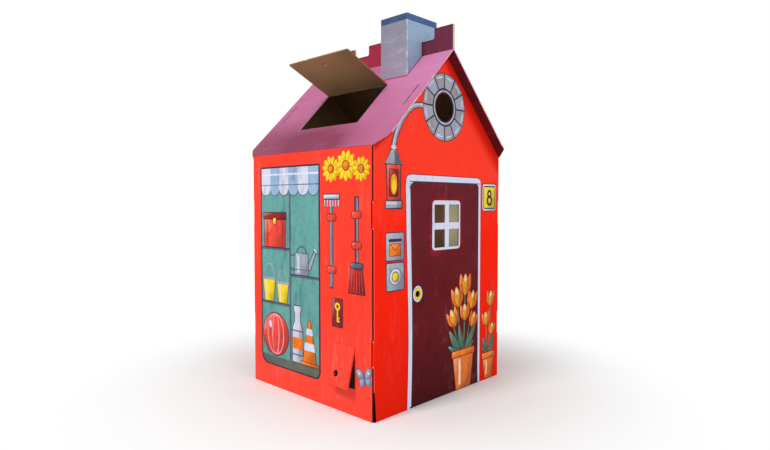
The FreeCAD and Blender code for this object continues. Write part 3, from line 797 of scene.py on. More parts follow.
def door_paint(finish):
    """Maroon, redder round the window and nearly black at the floor."""
    graph, colours, (x, _, z) = finish.graph, paints(), finish.spots
    clouds = graph.scaled(graph.noise(finish.place, 7.0), 1.2, -0.6)
    warm = graph.math("ADD", clouds, graph.ramp(z, 0.30, 0.62), clamp=True)
    colour = graph.blend(graph.times(warm, 0.6), colours.door_maroon, colours.door_wine)
    colour = graph.blend(graph.ramp(z, 0.28, -0.05), colour, shade_of(colours.door_maroon, -0.3))
    low, high = Vector(OPENINGS["pane_left_low"][0]), Vector(OPENINGS["pane_right_high"][1])
    middle, half = (low + high) / 2, (high - low) / 2
    beside = graph.minus(graph.off(x, middle.x), half.x)
    over = graph.minus(graph.off(z, middle.z), half.z)
    from_window = graph.plus(graph.math("MAXIMUM", beside, over), finish.stray(40.0))
    patchy = graph.ramp(graph.noise(finish.place, 30.0), 0.40, 0.62)
    round_window = graph.times(graph.ramp(from_window, 0.036, 0.010), patchy, 0.8)
    colour = graph.blend(round_window, colour, colours.door_crimson)
    return finish.brush(colour, (20.0, 20.0, 9.0), 0.85, deep=-0.24, thin=0.04, across=X)


def cut_line(finish, surface, node, hinge, down):
    """A thin dark line of painted shade where the knife went, round a flap that hangs from its hinge."""
    graph, (low, high) = finish.graph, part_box(node)
    spots = [vertex.co for vertex in frame["nodes"][node].data.vertices]
    reach = max((Vector((spot.x, hinge.y, spot.z)) - hinge).length for spot in spots)
    to_end = graph.minus(reach, graph.dot(graph.vector("SUBTRACT", finish.place, hinge), down))
    to_side = graph.minus((high.y - low.y) / 2, graph.off(finish.spots[1], (low.y + high.y) / 2))
    rim = graph.plus(graph.math("MINIMUM", to_end, to_side), finish.stray(1.2))
    return finish.stained(surface, graph.times(graph.ramp(rim, 1.6 * MM, 0.4 * MM), 0.55), KNIFE_GAP_SHADE)


def hatch_paint(finish):
    """The roof's paint, as it runs when the hatch is shut, with painted shade along its cut."""
    hinge = HINGES["hatch_fold"]
    finish.fold_back(hinge, HATCH_OUT, SLOPE)
    return cut_line(finish, roof_paint(finish), "roof_hatch", hinge, Vector((-SLOPE.z, 0, SLOPE.x)))


def hatch_inside(finish):
    """Bare board with painted shade that makes it browner towards the fold and the gable."""
    graph, paper, hinge = finish.graph, paints().hatch_kraft, HINGES["hatch_fold"]
    level = graph.stretched(finish.place, (1, 0, 1))
    fold_shade = graph.ramp(graph.distance(level, (hinge.x, 0, hinge.z)), 0.13, 0.0)
    to_gable = graph.ramp(finish.spots[1], -0.02, -0.18)
    hatch_shade = graph.scaled(fold_shade, 0.35, graph.times(to_gable, 0.45))
    return finish.kraft(Y, graph.blend(hatch_shade, paper, shade_of(paper, -0.45)))


def side_flap_paint(finish):
    """The wall's red, scuffed pale by hands, with painted shade along its cut."""
    graph, colours, hinge = finish.graph, paints(), HINGES["flap_fold"]
    finish.fold_back(hinge, FLAP_OUT, -X)
    red = finish.brush(graph.blend(0.35, colours.wall_red, colours.wall_low), (48.0, 48.0, 6.0), 0.8,
                       deep=-0.12, thin=0.08, across=Y)
    return cut_line(finish, finish.stained(red, scuffs(finish), SCUFFED), "side_flap", hinge, -Z)


def dress(node, material):
    """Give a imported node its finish."""
    piece = frame["nodes"][node]
    for holder in piece.material_slots:
        holder.material = material


class PLAYHOUSE_OT_board(bpy.types.Operator):
    """Paint every sheet and flap outside, and leave them bare inside"""
    bl_idname = "playhouse.board"
    bl_label = "Paint the board"

    def execute(self, context):
        dress("left_side_sheet", side_sheet_finish("left_sheet_finish", -1))
        dress("right_side_sheet", side_sheet_finish("right_sheet_finish", 1))
        dress("front_gable_sheet", gable_finish("front_gable_finish", -1))
        dress("rear_gable_sheet", gable_finish("rear_gable_finish", 1))
        dress("chimney_sleeve", chimney_finish("chimney_finish"))
        dress("door", flap_finish("door", -Y, door_paint, lambda finish: finish.kraft(X), MATT_GLOSS))
        dress("roof_hatch", flap_finish("roof_hatch", HATCH_OUT, hatch_paint, hatch_inside))
        dress("side_flap", flap_finish("side_flap", FLAP_OUT, side_flap_paint,
                                       lambda finish: finish.kraft(Y)))
        return {"FINISHED"}


# ---- drawing in millimetres on a flat face ----

ROUND_STEPS = 6


def box(left, right, low, high, rounds=0):
    """A rectangle's loop; rounds is one radius or four, from the low left corner round."""
    radii = (rounds,) * 4 if isinstance(rounds, (int, float)) else rounds
    corners = ((left, low), (right, low), (right, high), (left, high))
    inward = ((1, 1), (-1, 1), (-1, -1), (1, -1))
    points = []
    for turn, ((x, y), (dx, dy), radius) in enumerate(zip(corners, inward, radii)):
        if radius:
            points += oval(x + dx * radius, y + dy * radius, radius, start=180 + 90 * turn, sweep=90,
                           steps=ROUND_STEPS)
        else:
            points.append((x, y))
    return points


def oval(x, y, across, up=None, start=0, sweep=360, steps=36):
    """Points round an oval or along a part of it, by its half sizes."""
    up = across if up is None else up
    count = steps if sweep == 360 else steps + 1
    angles = [math.radians(start + sweep * step / steps) for step in range(count)]
    return [(x + across * math.cos(angle), y + up * math.sin(angle)) for angle in angles]


def flow(points, closed=True, steps=6):
    """A smooth line through points."""
    count = len(points)
    result = []
    for index in range(count if closed else count - 1):
        turns = [index + shift for shift in (-1, 0, 1, 2)]
        turns = [turn % count if closed else min(max(turn, 0), count - 1) for turn in turns]
        before, start, end, after = (Vector(points[turn]) for turn in turns)
        for step in range(steps):
            t = step / steps
            spot = 0.5 * (2 * start + (end - before) * t
                          + (2 * before - 5 * start + 4 * end - after) * t * t
                          + (3 * start - before - 3 * end + after) * t ** 3)
            result.append(tuple(spot))
    return result if closed else result + [tuple(points[-1])]


def turned(points, angle, x=0, y=0):
    """Points turned about the origin by degrees, then moved."""
    c, s = math.cos(math.radians(angle)), math.sin(math.radians(angle))
    return [(x + px * c - py * s, y + px * s + py * c) for px, py in points]


def ribbon(points, width, closed=False, uneven=0.0):
    """The loops round a line: two if the line is closed. A hand presses unevenly."""
    count = len(points)
    left, right = [], []
    for index, point in enumerate(points):
        before = points[index - 1] if closed or index else point
        after = points[(index + 1) % count] if closed or index < count - 1 else point
        along = (Vector(after) - Vector(before)).normalized()
        press = 1 + uneven * noise.noise(Vector((point[0] / 19, point[1] / 19, 4)))
        side = Vector((-along.y, along.x)) * width * press / 2
        left.append(tuple(Vector(point) + side))
        right.append(tuple(Vector(point) - side))
    return [left, right] if closed else [left + right[::-1]]


def linked(name, data):
    """A new object in the scene."""
    item = bpy.data.objects.new(name, data)
    bpy.context.scene.collection.objects.link(item)
    return item


def mesh_of(name, shape):
    """The mesh of a finished bmesh."""
    mesh = bpy.data.meshes.new(name)
    shape.to_mesh(mesh)
    shape.free()
    return mesh


class Canvas:
    """A flat face painted in coats, with x across it and y up it as seen from outside.

    Each shape starts a little under the face, and lines are pressed unevenly.
    """

    foot = -0.1
    uneven = 0.55

    def __init__(self, body, corner, right, out):
        self.body = body
        axes = Matrix((right, out.cross(right), out)).transposed().to_4x4()
        self.place = Matrix.Translation(corner) @ axes @ Matrix.Scale(MM, 4)
        self.shape = bmesh.new()
        self.materials = []
        self.laid = {}

    def lift(self, coat):
        """Each shape in a coat lies a hair above the one before, so none share a face."""
        count = self.laid[coat] = self.laid.get(coat, -1) + 1
        return (coat + count % 40 / 41) * sizes().paint / MM

    def strayed(self, point):
        """A point moved a little, as a hand moves a brush."""
        reach = sizes().hand / MM
        spot = Vector((*point, 0)) / 28
        return (point[0] + reach * noise.noise(spot), point[1] + reach * noise.noise(spot + 9 * Z))

    def cut_out(self, loops, thick):
        """A flat shape inside the first loop and outside the others."""
        curve = bpy.data.curves.new("shape", "CURVE")
        curve.dimensions, curve.fill_mode, curve.extrude = "2D", "BOTH", thick / 2
        for loop in loops:
            spline = curve.splines.new("POLY")
            spline.points.add(len(loop) - 1)
            for target, (x, y) in zip(spline.points, loop):
                target.co = (x, y, 0, 1)
            spline.use_cyclic_u = True
        holder = bpy.data.objects.new("shape", curve)
        mesh = bpy.data.meshes.new_from_object(holder)
        bpy.data.objects.remove(holder)
        bpy.data.curves.remove(curve)
        return mesh

    def note_spread(self, mesh, modelled):
        """Tell the paint how far across and up its own shape each point lies."""
        spots = [vertex.co.copy() for vertex in mesh.vertices]
        low, high = ([pick(spot[axis] for spot in spots) for axis in (0, 1)] for pick in (min, max))
        spread = mesh.attributes.new(SPREAD, "FLOAT_VECTOR", "POINT")
        for item, spot in zip(spread.data, spots):
            right, up = ((spot[axis] - low[axis]) / (high[axis] - low[axis]) for axis in (0, 1))
            item.vector = (right, up, modelled)

    def fill(self, key, *loops, coat=1, steady=False, modelled=0.0):
        """Paint inside the first loop and outside the others, flat or modelled with light."""
        material = painted(key)
        if material not in self.materials:
            self.materials.append(material)
        if not steady:
            loops = [[self.strayed(point) for point in loop] for loop in loops]
        top = self.lift(coat)
        mesh = self.cut_out(loops, top - self.foot)
        mesh.transform(Matrix.Translation((0, 0, (top + self.foot) / 2)))
        for polygon in mesh.polygons:
            polygon.material_index = self.materials.index(material)
        self.note_spread(mesh, modelled)
        self.shape.from_mesh(mesh)
        bpy.data.meshes.remove(mesh)

    def line(self, key, points, width=None, closed=False, coat=2, steady=False):
        width = sizes().ink_line / MM if width is None else width
        loops = ribbon(points, width, closed, 0.0 if steady else self.uneven)
        self.fill(key, *loops, coat=coat, steady=steady)

    def shape_with_line(self, key, loop, coat=1, line="ink", width=None):
        self.fill(key, loop, coat=coat, modelled=1.0)
        self.line(line, loop, width, closed=True, coat=coat + 1)

    def finish(self, name, slot):
        bmesh.ops.remove_doubles(self.shape, verts=self.shape.verts, dist=1e-4)
        mesh = mesh_of(name, self.shape)
        mesh.transform(self.place)
        for material in self.materials:
            mesh.materials.append(material)
        piece = linked(name, mesh)
        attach(piece, self.body)


def wall_canvas():
    """The left wall; x is measured from its middle towards the gable."""
    return Canvas("house", Vector((WALL_X, 0, 0)), -Y, -X)


def gable_canvas(body="house"):
    return Canvas(body, Vector((0, GABLE_Y, 0)), X, -Y)


# ---- door, frame and window ----

FRAME_WIDTH = 20.0
FRAME_TOP = 22.0
FRAME_RIGHT = 7.5
FRAME_LEAN = ((6, 5), (120, 8.5), (245, 9.5), (365, 7.5), (550, 2.5), (680, 0))
LEAN_END = FRAME_LEAN[-1][0]
PANE_REVEAL = 1.0


class PLAYHOUSE_OT_doorway(bpy.types.Operator):
    """White painted frame round the doorway, with dark lines"""
    bl_idname = "playhouse.doorway"
    bl_label = "Door frame"

    def execute(self, context):
        left, right = DOOR_LOW.x / MM - 0.6, HINGES["door_fold"].x / MM + 2
        top = DOOR_HIGH.z / MM + 1
        canvas = gable_canvas()
        side = [(left - FRAME_WIDTH + over * 1.3, max(height - 6, 1)) for height, over in FRAME_LEAN]
        outer = flow(side, closed=False)
        outer += flow([(left - FRAME_WIDTH - 1, top - 12), (left - FRAME_WIDTH + 5, top + 14),
                       (left + 4, top + FRAME_TOP)], closed=False)
        outer += flow([(right - 12, top + FRAME_TOP - 2), (right + 6, top + 13),
                       (right + FRAME_RIGHT, top - 6)], closed=False)
        outer += [(right + FRAME_RIGHT, 1)]
        canvas.fill("frame_white", outer + [(right, 1), (right, top), (left, top), (left, 1)])
        canvas.line("brick", outer, 2.4)
        canvas.line("ink", [(left - 1, LEAN_END), (left - 1, top + 0.6), (right, top + 0.6)], 1.6,
                    steady=True)
        canvas.finish("doorway_frame", "red_board")
        return {"FINISHED"}


class PLAYHOUSE_OT_door_panel(bpy.types.Operator):
    """White window frame, rounded corners and the ring round the finger hole"""
    bl_idname = "playhouse.door_panel"
    bl_label = "Door window and ring"

    def window(self, canvas):
        """White strips that leave the panes free, with round outer corners."""
        first, last = OPENINGS["pane_left_low"], OPENINGS["pane_right_high"]
        sides, heights = ([first[0][axis] / MM - PANE_REVEAL, first[1][axis] / MM + PANE_REVEAL,
                           last[0][axis] / MM - PANE_REVEAL, last[1][axis] / MM + PANE_REVEAL]
                          for axis in (0, 2))
        rim = box(sides[0] - 12, sides[3] + 8.5, heights[0] - 9, heights[3] + 14, 15)
        holes = [box(*sides[i:i + 2], *heights[j:j + 2], 2) for i in (0, 2) for j in (0, 2)]
        canvas.fill("frame_white", rim, *holes, steady=True)
        canvas.line("brick", rim, 2.5, closed=True)

    def edges(self, canvas):
        """White corners, the strip of frame that leans over the door, and an ink line along both."""
        left, right = DOOR_LOW.x / MM + 0.5, DOOR_HIGH.x / MM - 0.5
        top = DOOR_HIGH.z / MM - 0.5
        lean = flow([(left + over, height) for height, over in FRAME_LEAN], closed=False)
        for loop in (
            [(left, top), (left, top - 16), (left + 4, top - 6), (left + 14, top)],
            [(right - 2, top), (right - 2, top - 14), (right - 5, top - 5), (right - 13, top)],
            [(left - 0.4, LEAN_END), (left - 0.4, FRAME_LEAN[0][0])] + lean[:-1],
        ):
            canvas.fill("frame_white", loop, steady=True)
        edge = [(x + 1.5, y) for x, y in lean]
        edge += [(left + 1.5, top - 18), (left + 6, top - 7), (left + 17, top - 1.5)]
        edge += [(right - 18, top - 1.5), (right - 7, top - 6), (right - 4.5, top - 17), (right - 4.5, 6)]
        canvas.line("ink", edge, 3.2, steady=True)

    def ring(self, canvas):
        """A yellow ring with a white rim round the finger hole, a little taller than wide."""
        hole = opening_middle("door_finger_hole") / MM
        rim = oval(hole.x, hole.z, 10.2)
        for coat, (key, wide, tall) in enumerate((("ink", 22.8, 26.4), ("frame_white", 21.6, 25.0),
                                                  ("ink", 16.8, 19.8), ("yellow", 15.7, 18.6)), 1):
            canvas.fill(key, oval(hole.x, hole.z, wide, tall), rim, coat=coat)

    def execute(self, context):
        canvas = gable_canvas("door")
        self.window(canvas)
        self.edges(canvas)
        self.ring(canvas)
        canvas.finish("door_window_frame", "door_board")
        return {"FINISHED"}


# ---- pictures on the left wall ----

def shelf(canvas, left, right, height):
    canvas.fill("slate", box(left, right, height - 8, height), coat=3)
    canvas.line("ink", [(left, height), (right, height)], 2.2, coat=4)


def bucket(canvas, x, foot, wide, tall):
    """A yellow bucket with a rim, a handle and a light streak."""
    half = wide / 2
    sides = [(x - half * 0.72, foot), (x + half * 0.72, foot), (x + half, foot + tall),
             (x - half, foot + tall)]
    canvas.line("steel", oval(x, foot + tall, half * 0.86, tall * 0.62, 0, 180, 18), 3.5, coat=3)
    canvas.shape_with_line("yellow", sides, coat=4, width=2.6)
    canvas.fill("steel", box(x - half - 2, x + half + 2, foot + tall - 6, foot + tall + 3, 2), coat=6)
    canvas.fill("cream", box(x - half * 0.5, x - half * 0.3, foot + 8, foot + tall - 12, 3), coat=6)


def striped_ball(canvas, x, y, radius):
    canvas.shape_with_line("coral", oval(x, y, radius), coat=3, width=3.2)
    for share in (0.25, 0.62):
        for start in (-88, 92):
            bow = oval(x, y, radius * share, radius * 0.93, start, 176, 24)
            canvas.line("pink", bow, 5.5, coat=5)
    canvas.fill("pink", oval(x - radius * 0.05, y + radius * 0.88, radius * 0.16, radius * 0.07), coat=6)
    canvas.fill("frame_white", oval(x - radius * 0.4, y + radius * 0.42, radius * 0.1, radius * 0.17),
                coat=6)


def toy_box(canvas, left, right, foot, top):
    canvas.shape_with_line("coral", box(left, right, foot, top - 22, 2), coat=3, width=2.8)
    canvas.shape_with_line("brick", box(left - 6, right + 6, top - 24, top, 5), coat=4, width=2.8)
    middle = (left + right) / 2
    canvas.shape_with_line("yellow", box(middle - 9, middle + 9, top - 40, top - 18, 3), coat=6,
                           width=2)
    for x in (left + 16, right - 16):
        canvas.line("brick", [(x, foot + 3), (x, top - 27)], 3, coat=5)


def watering_can(canvas, x, foot):
    """A grey can with its spout to the right and its handle to the left."""
    canvas.line("slate", flow([(x - 30, foot + 66), (x - 62, foot + 58), (x - 60, foot + 22),
                               (x - 34, foot + 14)], closed=False), 6, coat=3)
    spout = [(x + 28, foot + 12), (x + 30, foot + 34), (x + 66, foot + 84), (x + 74, foot + 78),
             (x + 46, foot + 22)]
    canvas.shape_with_line("steel", spout, coat=3, width=2.4)
    canvas.shape_with_line("silver", turned(oval(0, 0, 13, 5), -38, x + 71, foot + 83), coat=5, width=2)
    body = [(x - 38, foot), (x + 38, foot), (x + 33, foot + 72), (x - 33, foot + 72)]
    canvas.shape_with_line("steel", body, coat=5, width=2.8)
    canvas.fill("silver", box(x - 24, x - 12, foot + 8, foot + 64, 4), coat=7)
    canvas.line("slate", [(x - 36, foot + 18), (x + 36, foot + 18)], 3, coat=7)
    canvas.line("slate", oval(x, foot + 72, 24, 22, 0, 180, 16), 5, coat=7)


def cone(canvas, x, foot, tall):
    half = tall * 0.25
    canvas.shape_with_line("orange", [(x - half, foot + 8), (x + half, foot + 8), (x + 5, foot + tall),
                                      (x - 5, foot + tall)], coat=4, width=2.6)
    for low, high in ((0.28, 0.45), (0.62, 0.76)):
        a, b = half - (half - 5) * low, half - (half - 5) * high
        canvas.fill("frame_white", [(x - a, foot + 8 + tall * low), (x + a, foot + 8 + tall * low),
                                    (x + b, foot + 8 + tall * high), (x - b, foot + 8 + tall * high)],
                    coat=6)
    canvas.shape_with_line("orange", box(x - half - 8, x + half + 8, foot, foot + 11, 3), coat=5,
                           width=2.2)


def churn(canvas, x, foot, tall):
    """A silver milk churn with two bands."""
    side = [(26, 0), (28, tall * 0.1), (28, tall * 0.58), (15, tall * 0.74), (15, tall * 0.86),
            (20, tall * 0.93), (18, tall)]
    loop = [(x + dx, foot + dy) for dx, dy in side]
    loop += [(x - dx, foot + dy) for dx, dy in reversed(side)]
    canvas.shape_with_line("silver", loop, coat=3, width=2.6)
    canvas.fill("steel", box(x + 8, x + 22, foot + 4, foot + tall * 0.58, 4), coat=5)
    for share in (0.14, 0.56):
        canvas.line("slate", [(x - 27, foot + tall * share), (x + 27, foot + tall * share)], 4, coat=6)
    canvas.fill("orange", box(x - 27, x + 27, foot + tall * 0.24, foot + tall * 0.44), coat=6)


class PLAYHOUSE_OT_cupboard(bpy.types.Operator):
    """Teal cupboard with an awning, shelves and playthings"""
    bl_idname = "playhouse.cupboard"
    bl_label = "Cupboard picture"

    def execute(self, context):
        left, right, low, high = -250, 66, 76, 755
        middle, floor = -86, 106
        canvas = wall_canvas()
        field = box(left, right, low, high, (34, 22, 3, 3))
        canvas.fill("teal", field)
        canvas.fill("olive", box(left + 3, right - 3, low + 3, floor, (30, 18, 0, 0)), coat=2)
        canvas.line("slate", [(middle, floor), (middle, 690)], 8)
        shelf(canvas, left + 3, middle, 482)
        shelf(canvas, left + 3, middle, 294)
        shelf(canvas, middle, right - 3, 398)
        toy_box(canvas, -232, -112, 483, 602)
        bucket(canvas, -206, 295, 74, 80)
        bucket(canvas, -128, 295, 66, 70)
        striped_ball(canvas, -170, 184, 74)
        watering_can(canvas, -24, 399)
        churn(canvas, -48, 107, 190)
        cone(canvas, 14, 107, 150)
        self.awning(canvas, left, right, high)
        canvas.line("ink", field, 5, closed=True, coat=9)
        canvas.finish("cupboard_picture", "red_board")
        return {"FINISHED"}

    def awning(self, canvas, left, right, high):
        """Striped awning with a scalloped hem."""
        stripes = 6
        wide = (right - left - 6) / stripes
        for stripe in range(stripes):
            start = left + 3 + wide * stripe
            hem = oval(start + wide / 2, high - 76, wide / 2, 20, 0, -180, 12)
            key = "sky" if stripe % 2 else "silver"
            canvas.fill(key, [(start, high - 3), (start + wide, high - 3)] + hem, coat=7)
            canvas.line("slate", hem, 2.8, coat=8)
        canvas.line("slate", [(left + 3, high - 60), (right - 3, high - 60)], 2.6, coat=8)
        canvas.line("frame_white", [(left + 3, high - 24), (right - 3, high - 26)], 5, coat=8)


def daisy(canvas, x, y, radius):
    """A yellow flower with an amber heart."""
    petals = 11
    shape = flow([(radius * 0.2, -radius * 0.07), (radius * 0.7, -radius * 0.2), (radius, 0),
                  (radius * 0.7, radius * 0.2), (radius * 0.2, radius * 0.07)], steps=4)
    for petal in range(petals):
        loop = turned(shape, 360 * petal / petals + 8, x, y)
        canvas.shape_with_line("yellow", loop, coat=1 + petal % 2, line="amber", width=2.4)
    canvas.shape_with_line("orange", oval(x, y, radius * 0.32), coat=5, line="brick", width=2.6)
    canvas.fill("amber", oval(x - 2, y + 3, radius * 0.15), coat=7)


def bracket(canvas, x, y):
    """A strap that holds a handle."""
    canvas.shape_with_line("coral", box(x - 21, x + 21, y - 11, y + 11, 8), coat=5, line="brick",
                           width=3)


def rake(canvas, x, low, high):
    canvas.line("ink", [(x, low), (x, high - 18)], 18, coat=1)
    canvas.line("slate", [(x, low + 3), (x, high - 20)], 12.5)
    canvas.line("steel", [(x - 3, low + 6), (x - 3, high - 24)], 4, coat=3)
    for tine in range(6):
        spot = x - 32 + 12.8 * tine
        canvas.line("ink", [(spot, high - 46), (spot, high - 16)], 7.5, coat=1)
        canvas.line("silver", [(spot, high - 44), (spot, high - 19)], 4, coat=3)
    canvas.shape_with_line("silver", box(x - 38, x + 38, high - 22, high - 6, 5), coat=4, width=3)
    canvas.line("steel", [(x - 32, high - 18), (x + 32, high - 18)], 3.5, coat=6)


def broom(canvas, x, low, high):
    canvas.line("ink", [(x, low + 90), (x, high)], 19, coat=1)
    canvas.line("slate", [(x + 1, low + 90), (x + 1, high - 3)], 11)
    canvas.line("steel", [(x + 3, low + 96), (x + 3, high - 6)], 3, coat=3)
    head = [(x - 36, low), (x + 36, low), (x + 24, low + 78), (x - 24, low + 78)]
    canvas.shape_with_line("brick", head, coat=3, width=2.8)
    for bristle in range(5):
        foot = x - 26 + 13 * bristle
        canvas.line("coral", [(foot, low + 4), (x + (foot - x) * 0.7, low + 70)], 2.2, coat=5)
    canvas.shape_with_line("slate", box(x - 27, x + 27, low + 76, low + 92, 4), coat=4, width=2.4)


def key_plate(canvas, x, y):
    """A dark red plate with a yellow key."""
    canvas.shape_with_line("brick", box(x - 24, x + 24, y - 44, y + 44, 4), width=2)
    canvas.fill("yellow", oval(x, y + 20, 12), oval(x, y + 20, 6), coat=3)
    canvas.line("yellow", [(x, y + 9), (x, y - 28)], 5, coat=3)
    for tooth in (-26, -16):
        canvas.line("yellow", [(x, y + tooth), (x + 10, y + tooth)], 4, coat=3)


def butterfly(canvas, x, y, wide):
    for side in (-1, 1):
        upper = flow([(0, 4), (side * wide * 0.3, wide * 0.5), (side * wide * 0.62, wide * 0.42),
                      (side * wide * 0.5, wide * 0.02), (side * 3, -2)], steps=5)
        lower = flow([(0, 0), (side * wide * 0.45, -wide * 0.08), (side * wide * 0.4, -wide * 0.46),
                      (side * wide * 0.12, -wide * 0.4)], steps=5)
        canvas.shape_with_line("sky", turned(lower, 12, x, y), line="slate", width=2)
        canvas.shape_with_line("steel", turned(upper, 12, x, y), coat=2, line="slate", width=2)
        canvas.fill("frame_white", turned(oval(side * wide * 0.38, wide * 0.26, 5, 4), 12, x, y), coat=4)
    canvas.fill("slate", turned(oval(0, 0, 3, wide * 0.36), 12, x, y), coat=5)


class PLAYHOUSE_OT_wall_pictures(bpy.types.Operator):
    """Flowers, rake, broom, key plate and butterfly beside the cupboard"""
    bl_idname = "playhouse.wall_pictures"
    bl_label = "Small wall pictures"

    def execute(self, context):
        canvas = wall_canvas()
        for x, y, radius in ((122, 738, 40), (190, 746, 46), (255, 734, 37)):
            daisy(canvas, x, y, radius)
        canvas.finish("flower_picture", "red_board")
        canvas = wall_canvas()
        rake(canvas, 124, 372, 668)
        bracket(canvas, 124, 590)
        bracket(canvas, 124, 430)
        broom(canvas, 236, 366, 654)
        bracket(canvas, 236, 600)
        bracket(canvas, 236, 510)
        key_plate(canvas, 150, 300)
        canvas.finish("garden_tool_picture", "red_board")
        canvas = wall_canvas()
        butterfly(canvas, 268, 124, 52)
        canvas.finish("butterfly_picture", "red_board")
        return {"FINISHED"}


# ---- pictures on the front gable ----

class PLAYHOUSE_OT_round_window(bpy.types.Operator):
    """Grey stones round the gable's round hole"""
    bl_idname = "playhouse.round_window"
    bl_label = "Round window"

    def execute(self, context):
        x, _, y = opening_middle("porthole") / MM
        low, high = OPENINGS["porthole"]
        hole = math.hypot(high[0] - low[0], high[2] - low[2]) / 2 / MM + 0.8
        outer, stones, joint = 108.0, 12, 2.4
        canvas = gable_canvas()
        canvas.fill("ink", oval(x, y, outer + 2), oval(x, y, hole))
        for stone in range(stones):
            start, sweep = 360 * stone / stones + joint / 2, 360 / stones - joint
            rim = oval(x, y, outer - 1, None, start, sweep, 8)
            core = oval(x, y, hole + 14, None, start + joint / 2, sweep - joint, 8)
            canvas.fill("stone" if stone % 2 else "steel", rim + core[::-1], coat=2)
            canvas.line("silver", oval(x, y, outer - 12, None, start + 5, sweep - 10, 6), 5, coat=3)
        canvas.fill("slate", oval(x, y, hole + 10), oval(x, y, hole), coat=2)
        canvas.line("silver", oval(x, y, hole + 5), 3, closed=True, coat=3)
        canvas.finish("round_window_stones", "red_board")
        return {"FINISHED"}


def plate(canvas, x, y, wide, tall):
    loop = box(x - wide / 2, x + wide / 2, y - tall / 2, y + tall / 2, 7)
    canvas.shape_with_line("steel", loop, width=3.4)


class PLAYHOUSE_OT_gable_pictures(bpy.types.Operator):
    """Lantern, letterbox, bell push and house number"""
    bl_idname = "playhouse.gable_pictures"
    bl_label = "Small gable pictures"

    def lantern(self, canvas, x, y):
        """A red lantern on a grey arm that follows the roof."""
        arm = flow([(x + 136, y + 318), (x + 96, y + 312), (x + 56, y + 282), (x + 18, y + 228),
                    (x + 4, y + 184)], closed=False)
        canvas.line("ink", arm, 19, coat=1)
        canvas.line("steel", arm, 13)
        canvas.line("silver", [(px - 2, py + 2) for px, py in arm], 3.5, coat=3)
        roof = [(x - 34, y + 130), (x + 42, y + 130), (x + 15, y + 174), (x - 7, y + 174)]
        canvas.shape_with_line("steel", roof, coat=2, width=4)
        canvas.fill("slate", [(x + 12, y + 133), (x + 38, y + 133), (x + 13, y + 170), (x + 6, y + 170)],
                    coat=4)
        canvas.fill("silver", oval(x + 4, y + 180, 10, 7), coat=3)
        case = [(x - 24, y + 22), (x + 32, y + 22), (x + 36, y + 130), (x - 28, y + 130)]
        canvas.shape_with_line("coral", case, coat=3, width=4)
        canvas.shape_with_line("brick", box(x - 15, x + 23, y + 36, y + 116, 4), coat=5, width=2.4)
        canvas.fill("amber", oval(x + 4, y + 72, 14, 30), coat=7)
        canvas.fill("yellow", oval(x + 4, y + 66, 8, 19), coat=8)
        canvas.shape_with_line("steel", box(x - 32, x + 40, y, y + 24, 5), coat=4, width=4)
        canvas.fill("silver", box(x - 26, x + 16, y + 13, y + 19, 2), coat=6)

    def letterbox(self, canvas, x, y):
        plate(canvas, x, y, 80, 84)
        canvas.fill("ink", box(x - 28, x + 28, y + 14, y + 23, 3), coat=3)
        canvas.shape_with_line("orange", box(x - 24, x + 24, y - 28, y + 8, 2), coat=3, line="brick",
                               width=2.2)
        canvas.line("brick", [(x - 22, y + 7), (x, y - 12), (x + 22, y + 7)], 2.6, coat=5)

    def bell(self, canvas, x, y):
        plate(canvas, x, y, 78, 84)
        canvas.shape_with_line("silver", oval(x, y, 25), coat=3, line="slate", width=2.4)
        canvas.shape_with_line("yellow", oval(x, y, 14), coat=5, width=2.4)

    def number(self, canvas, x, y):
        canvas.shape_with_line("frame_white", box(x - 44, x + 44, y - 48, y + 48, 14), line="brick",
                               width=2.6)
        canvas.shape_with_line("yellow", box(x - 36, x + 36, y - 39, y + 39, 6), coat=3, width=3.6)
        for up, wide, tall in ((-11.5, 12.5, 14), (13, 9.5, 10.5)):
            canvas.line("ink", oval(x, y + up, wide, tall), 8.5, closed=True, coat=5)

    def execute(self, context):
        canvas = gable_canvas()
        self.lantern(canvas, -244, 618)
        self.letterbox(canvas, -234, 506)
        self.bell(canvas, -233, 416)
        self.number(canvas, 261, 653.5)
        canvas.finish("gable_pictures", "red_board")
        return {"FINISHED"}


def pot(canvas, x, wide, tall):
    half = wide / 2
    canvas.shape_with_line("clay", [(x - half * 0.7, 4), (x + half * 0.7, 4), (x + half, tall),
                                    (x - half, tall)], coat=5, line="brick", width=3)
    canvas.shape_with_line("orange", box(x - half - 6, x + half + 6, tall - 4, tall + 18, 4), coat=7,
                           line="brick", width=3)
    canvas.fill("cream", box(x - half * 0.45, x - half * 0.25, 16, tall - 12, 4), coat=7)


def leaf(canvas, x, y, long, angle):
    shape = flow([(0, 0), (long * 0.4, long * 0.15), (long, 0), (long * 0.4, -long * 0.13)], steps=5)
    canvas.shape_with_line("leaf", turned(shape, angle, x, y), coat=2, width=2.2)


def tulip(canvas, x, y, tall, angle):
    """A closed flower head with three petals, pale at their tips."""
    side = flow([(0, -tall * 0.5), (tall * 0.42, -tall * 0.15), (tall * 0.38, tall * 0.5),
                 (tall * 0.1, tall * 0.1)], steps=5)
    other = [(-px, py) for px, py in side]
    heart = flow([(0, -tall * 0.5), (tall * 0.26, 0), (0, tall * 0.52), (-tall * 0.26, 0)], steps=5)
    tip = flow([(0, tall * 0.1), (tall * 0.1, tall * 0.26), (0, tall * 0.44),
                (-tall * 0.1, tall * 0.26)], steps=4)
    for key, petal, coat in (("orange", side, 5), ("orange", other, 5), ("amber", heart, 7)):
        canvas.shape_with_line(key, turned(petal, angle, x, y), coat=coat, line="brick", width=2.2)
    canvas.fill("cream", turned(tip, angle, x, y), coat=9)


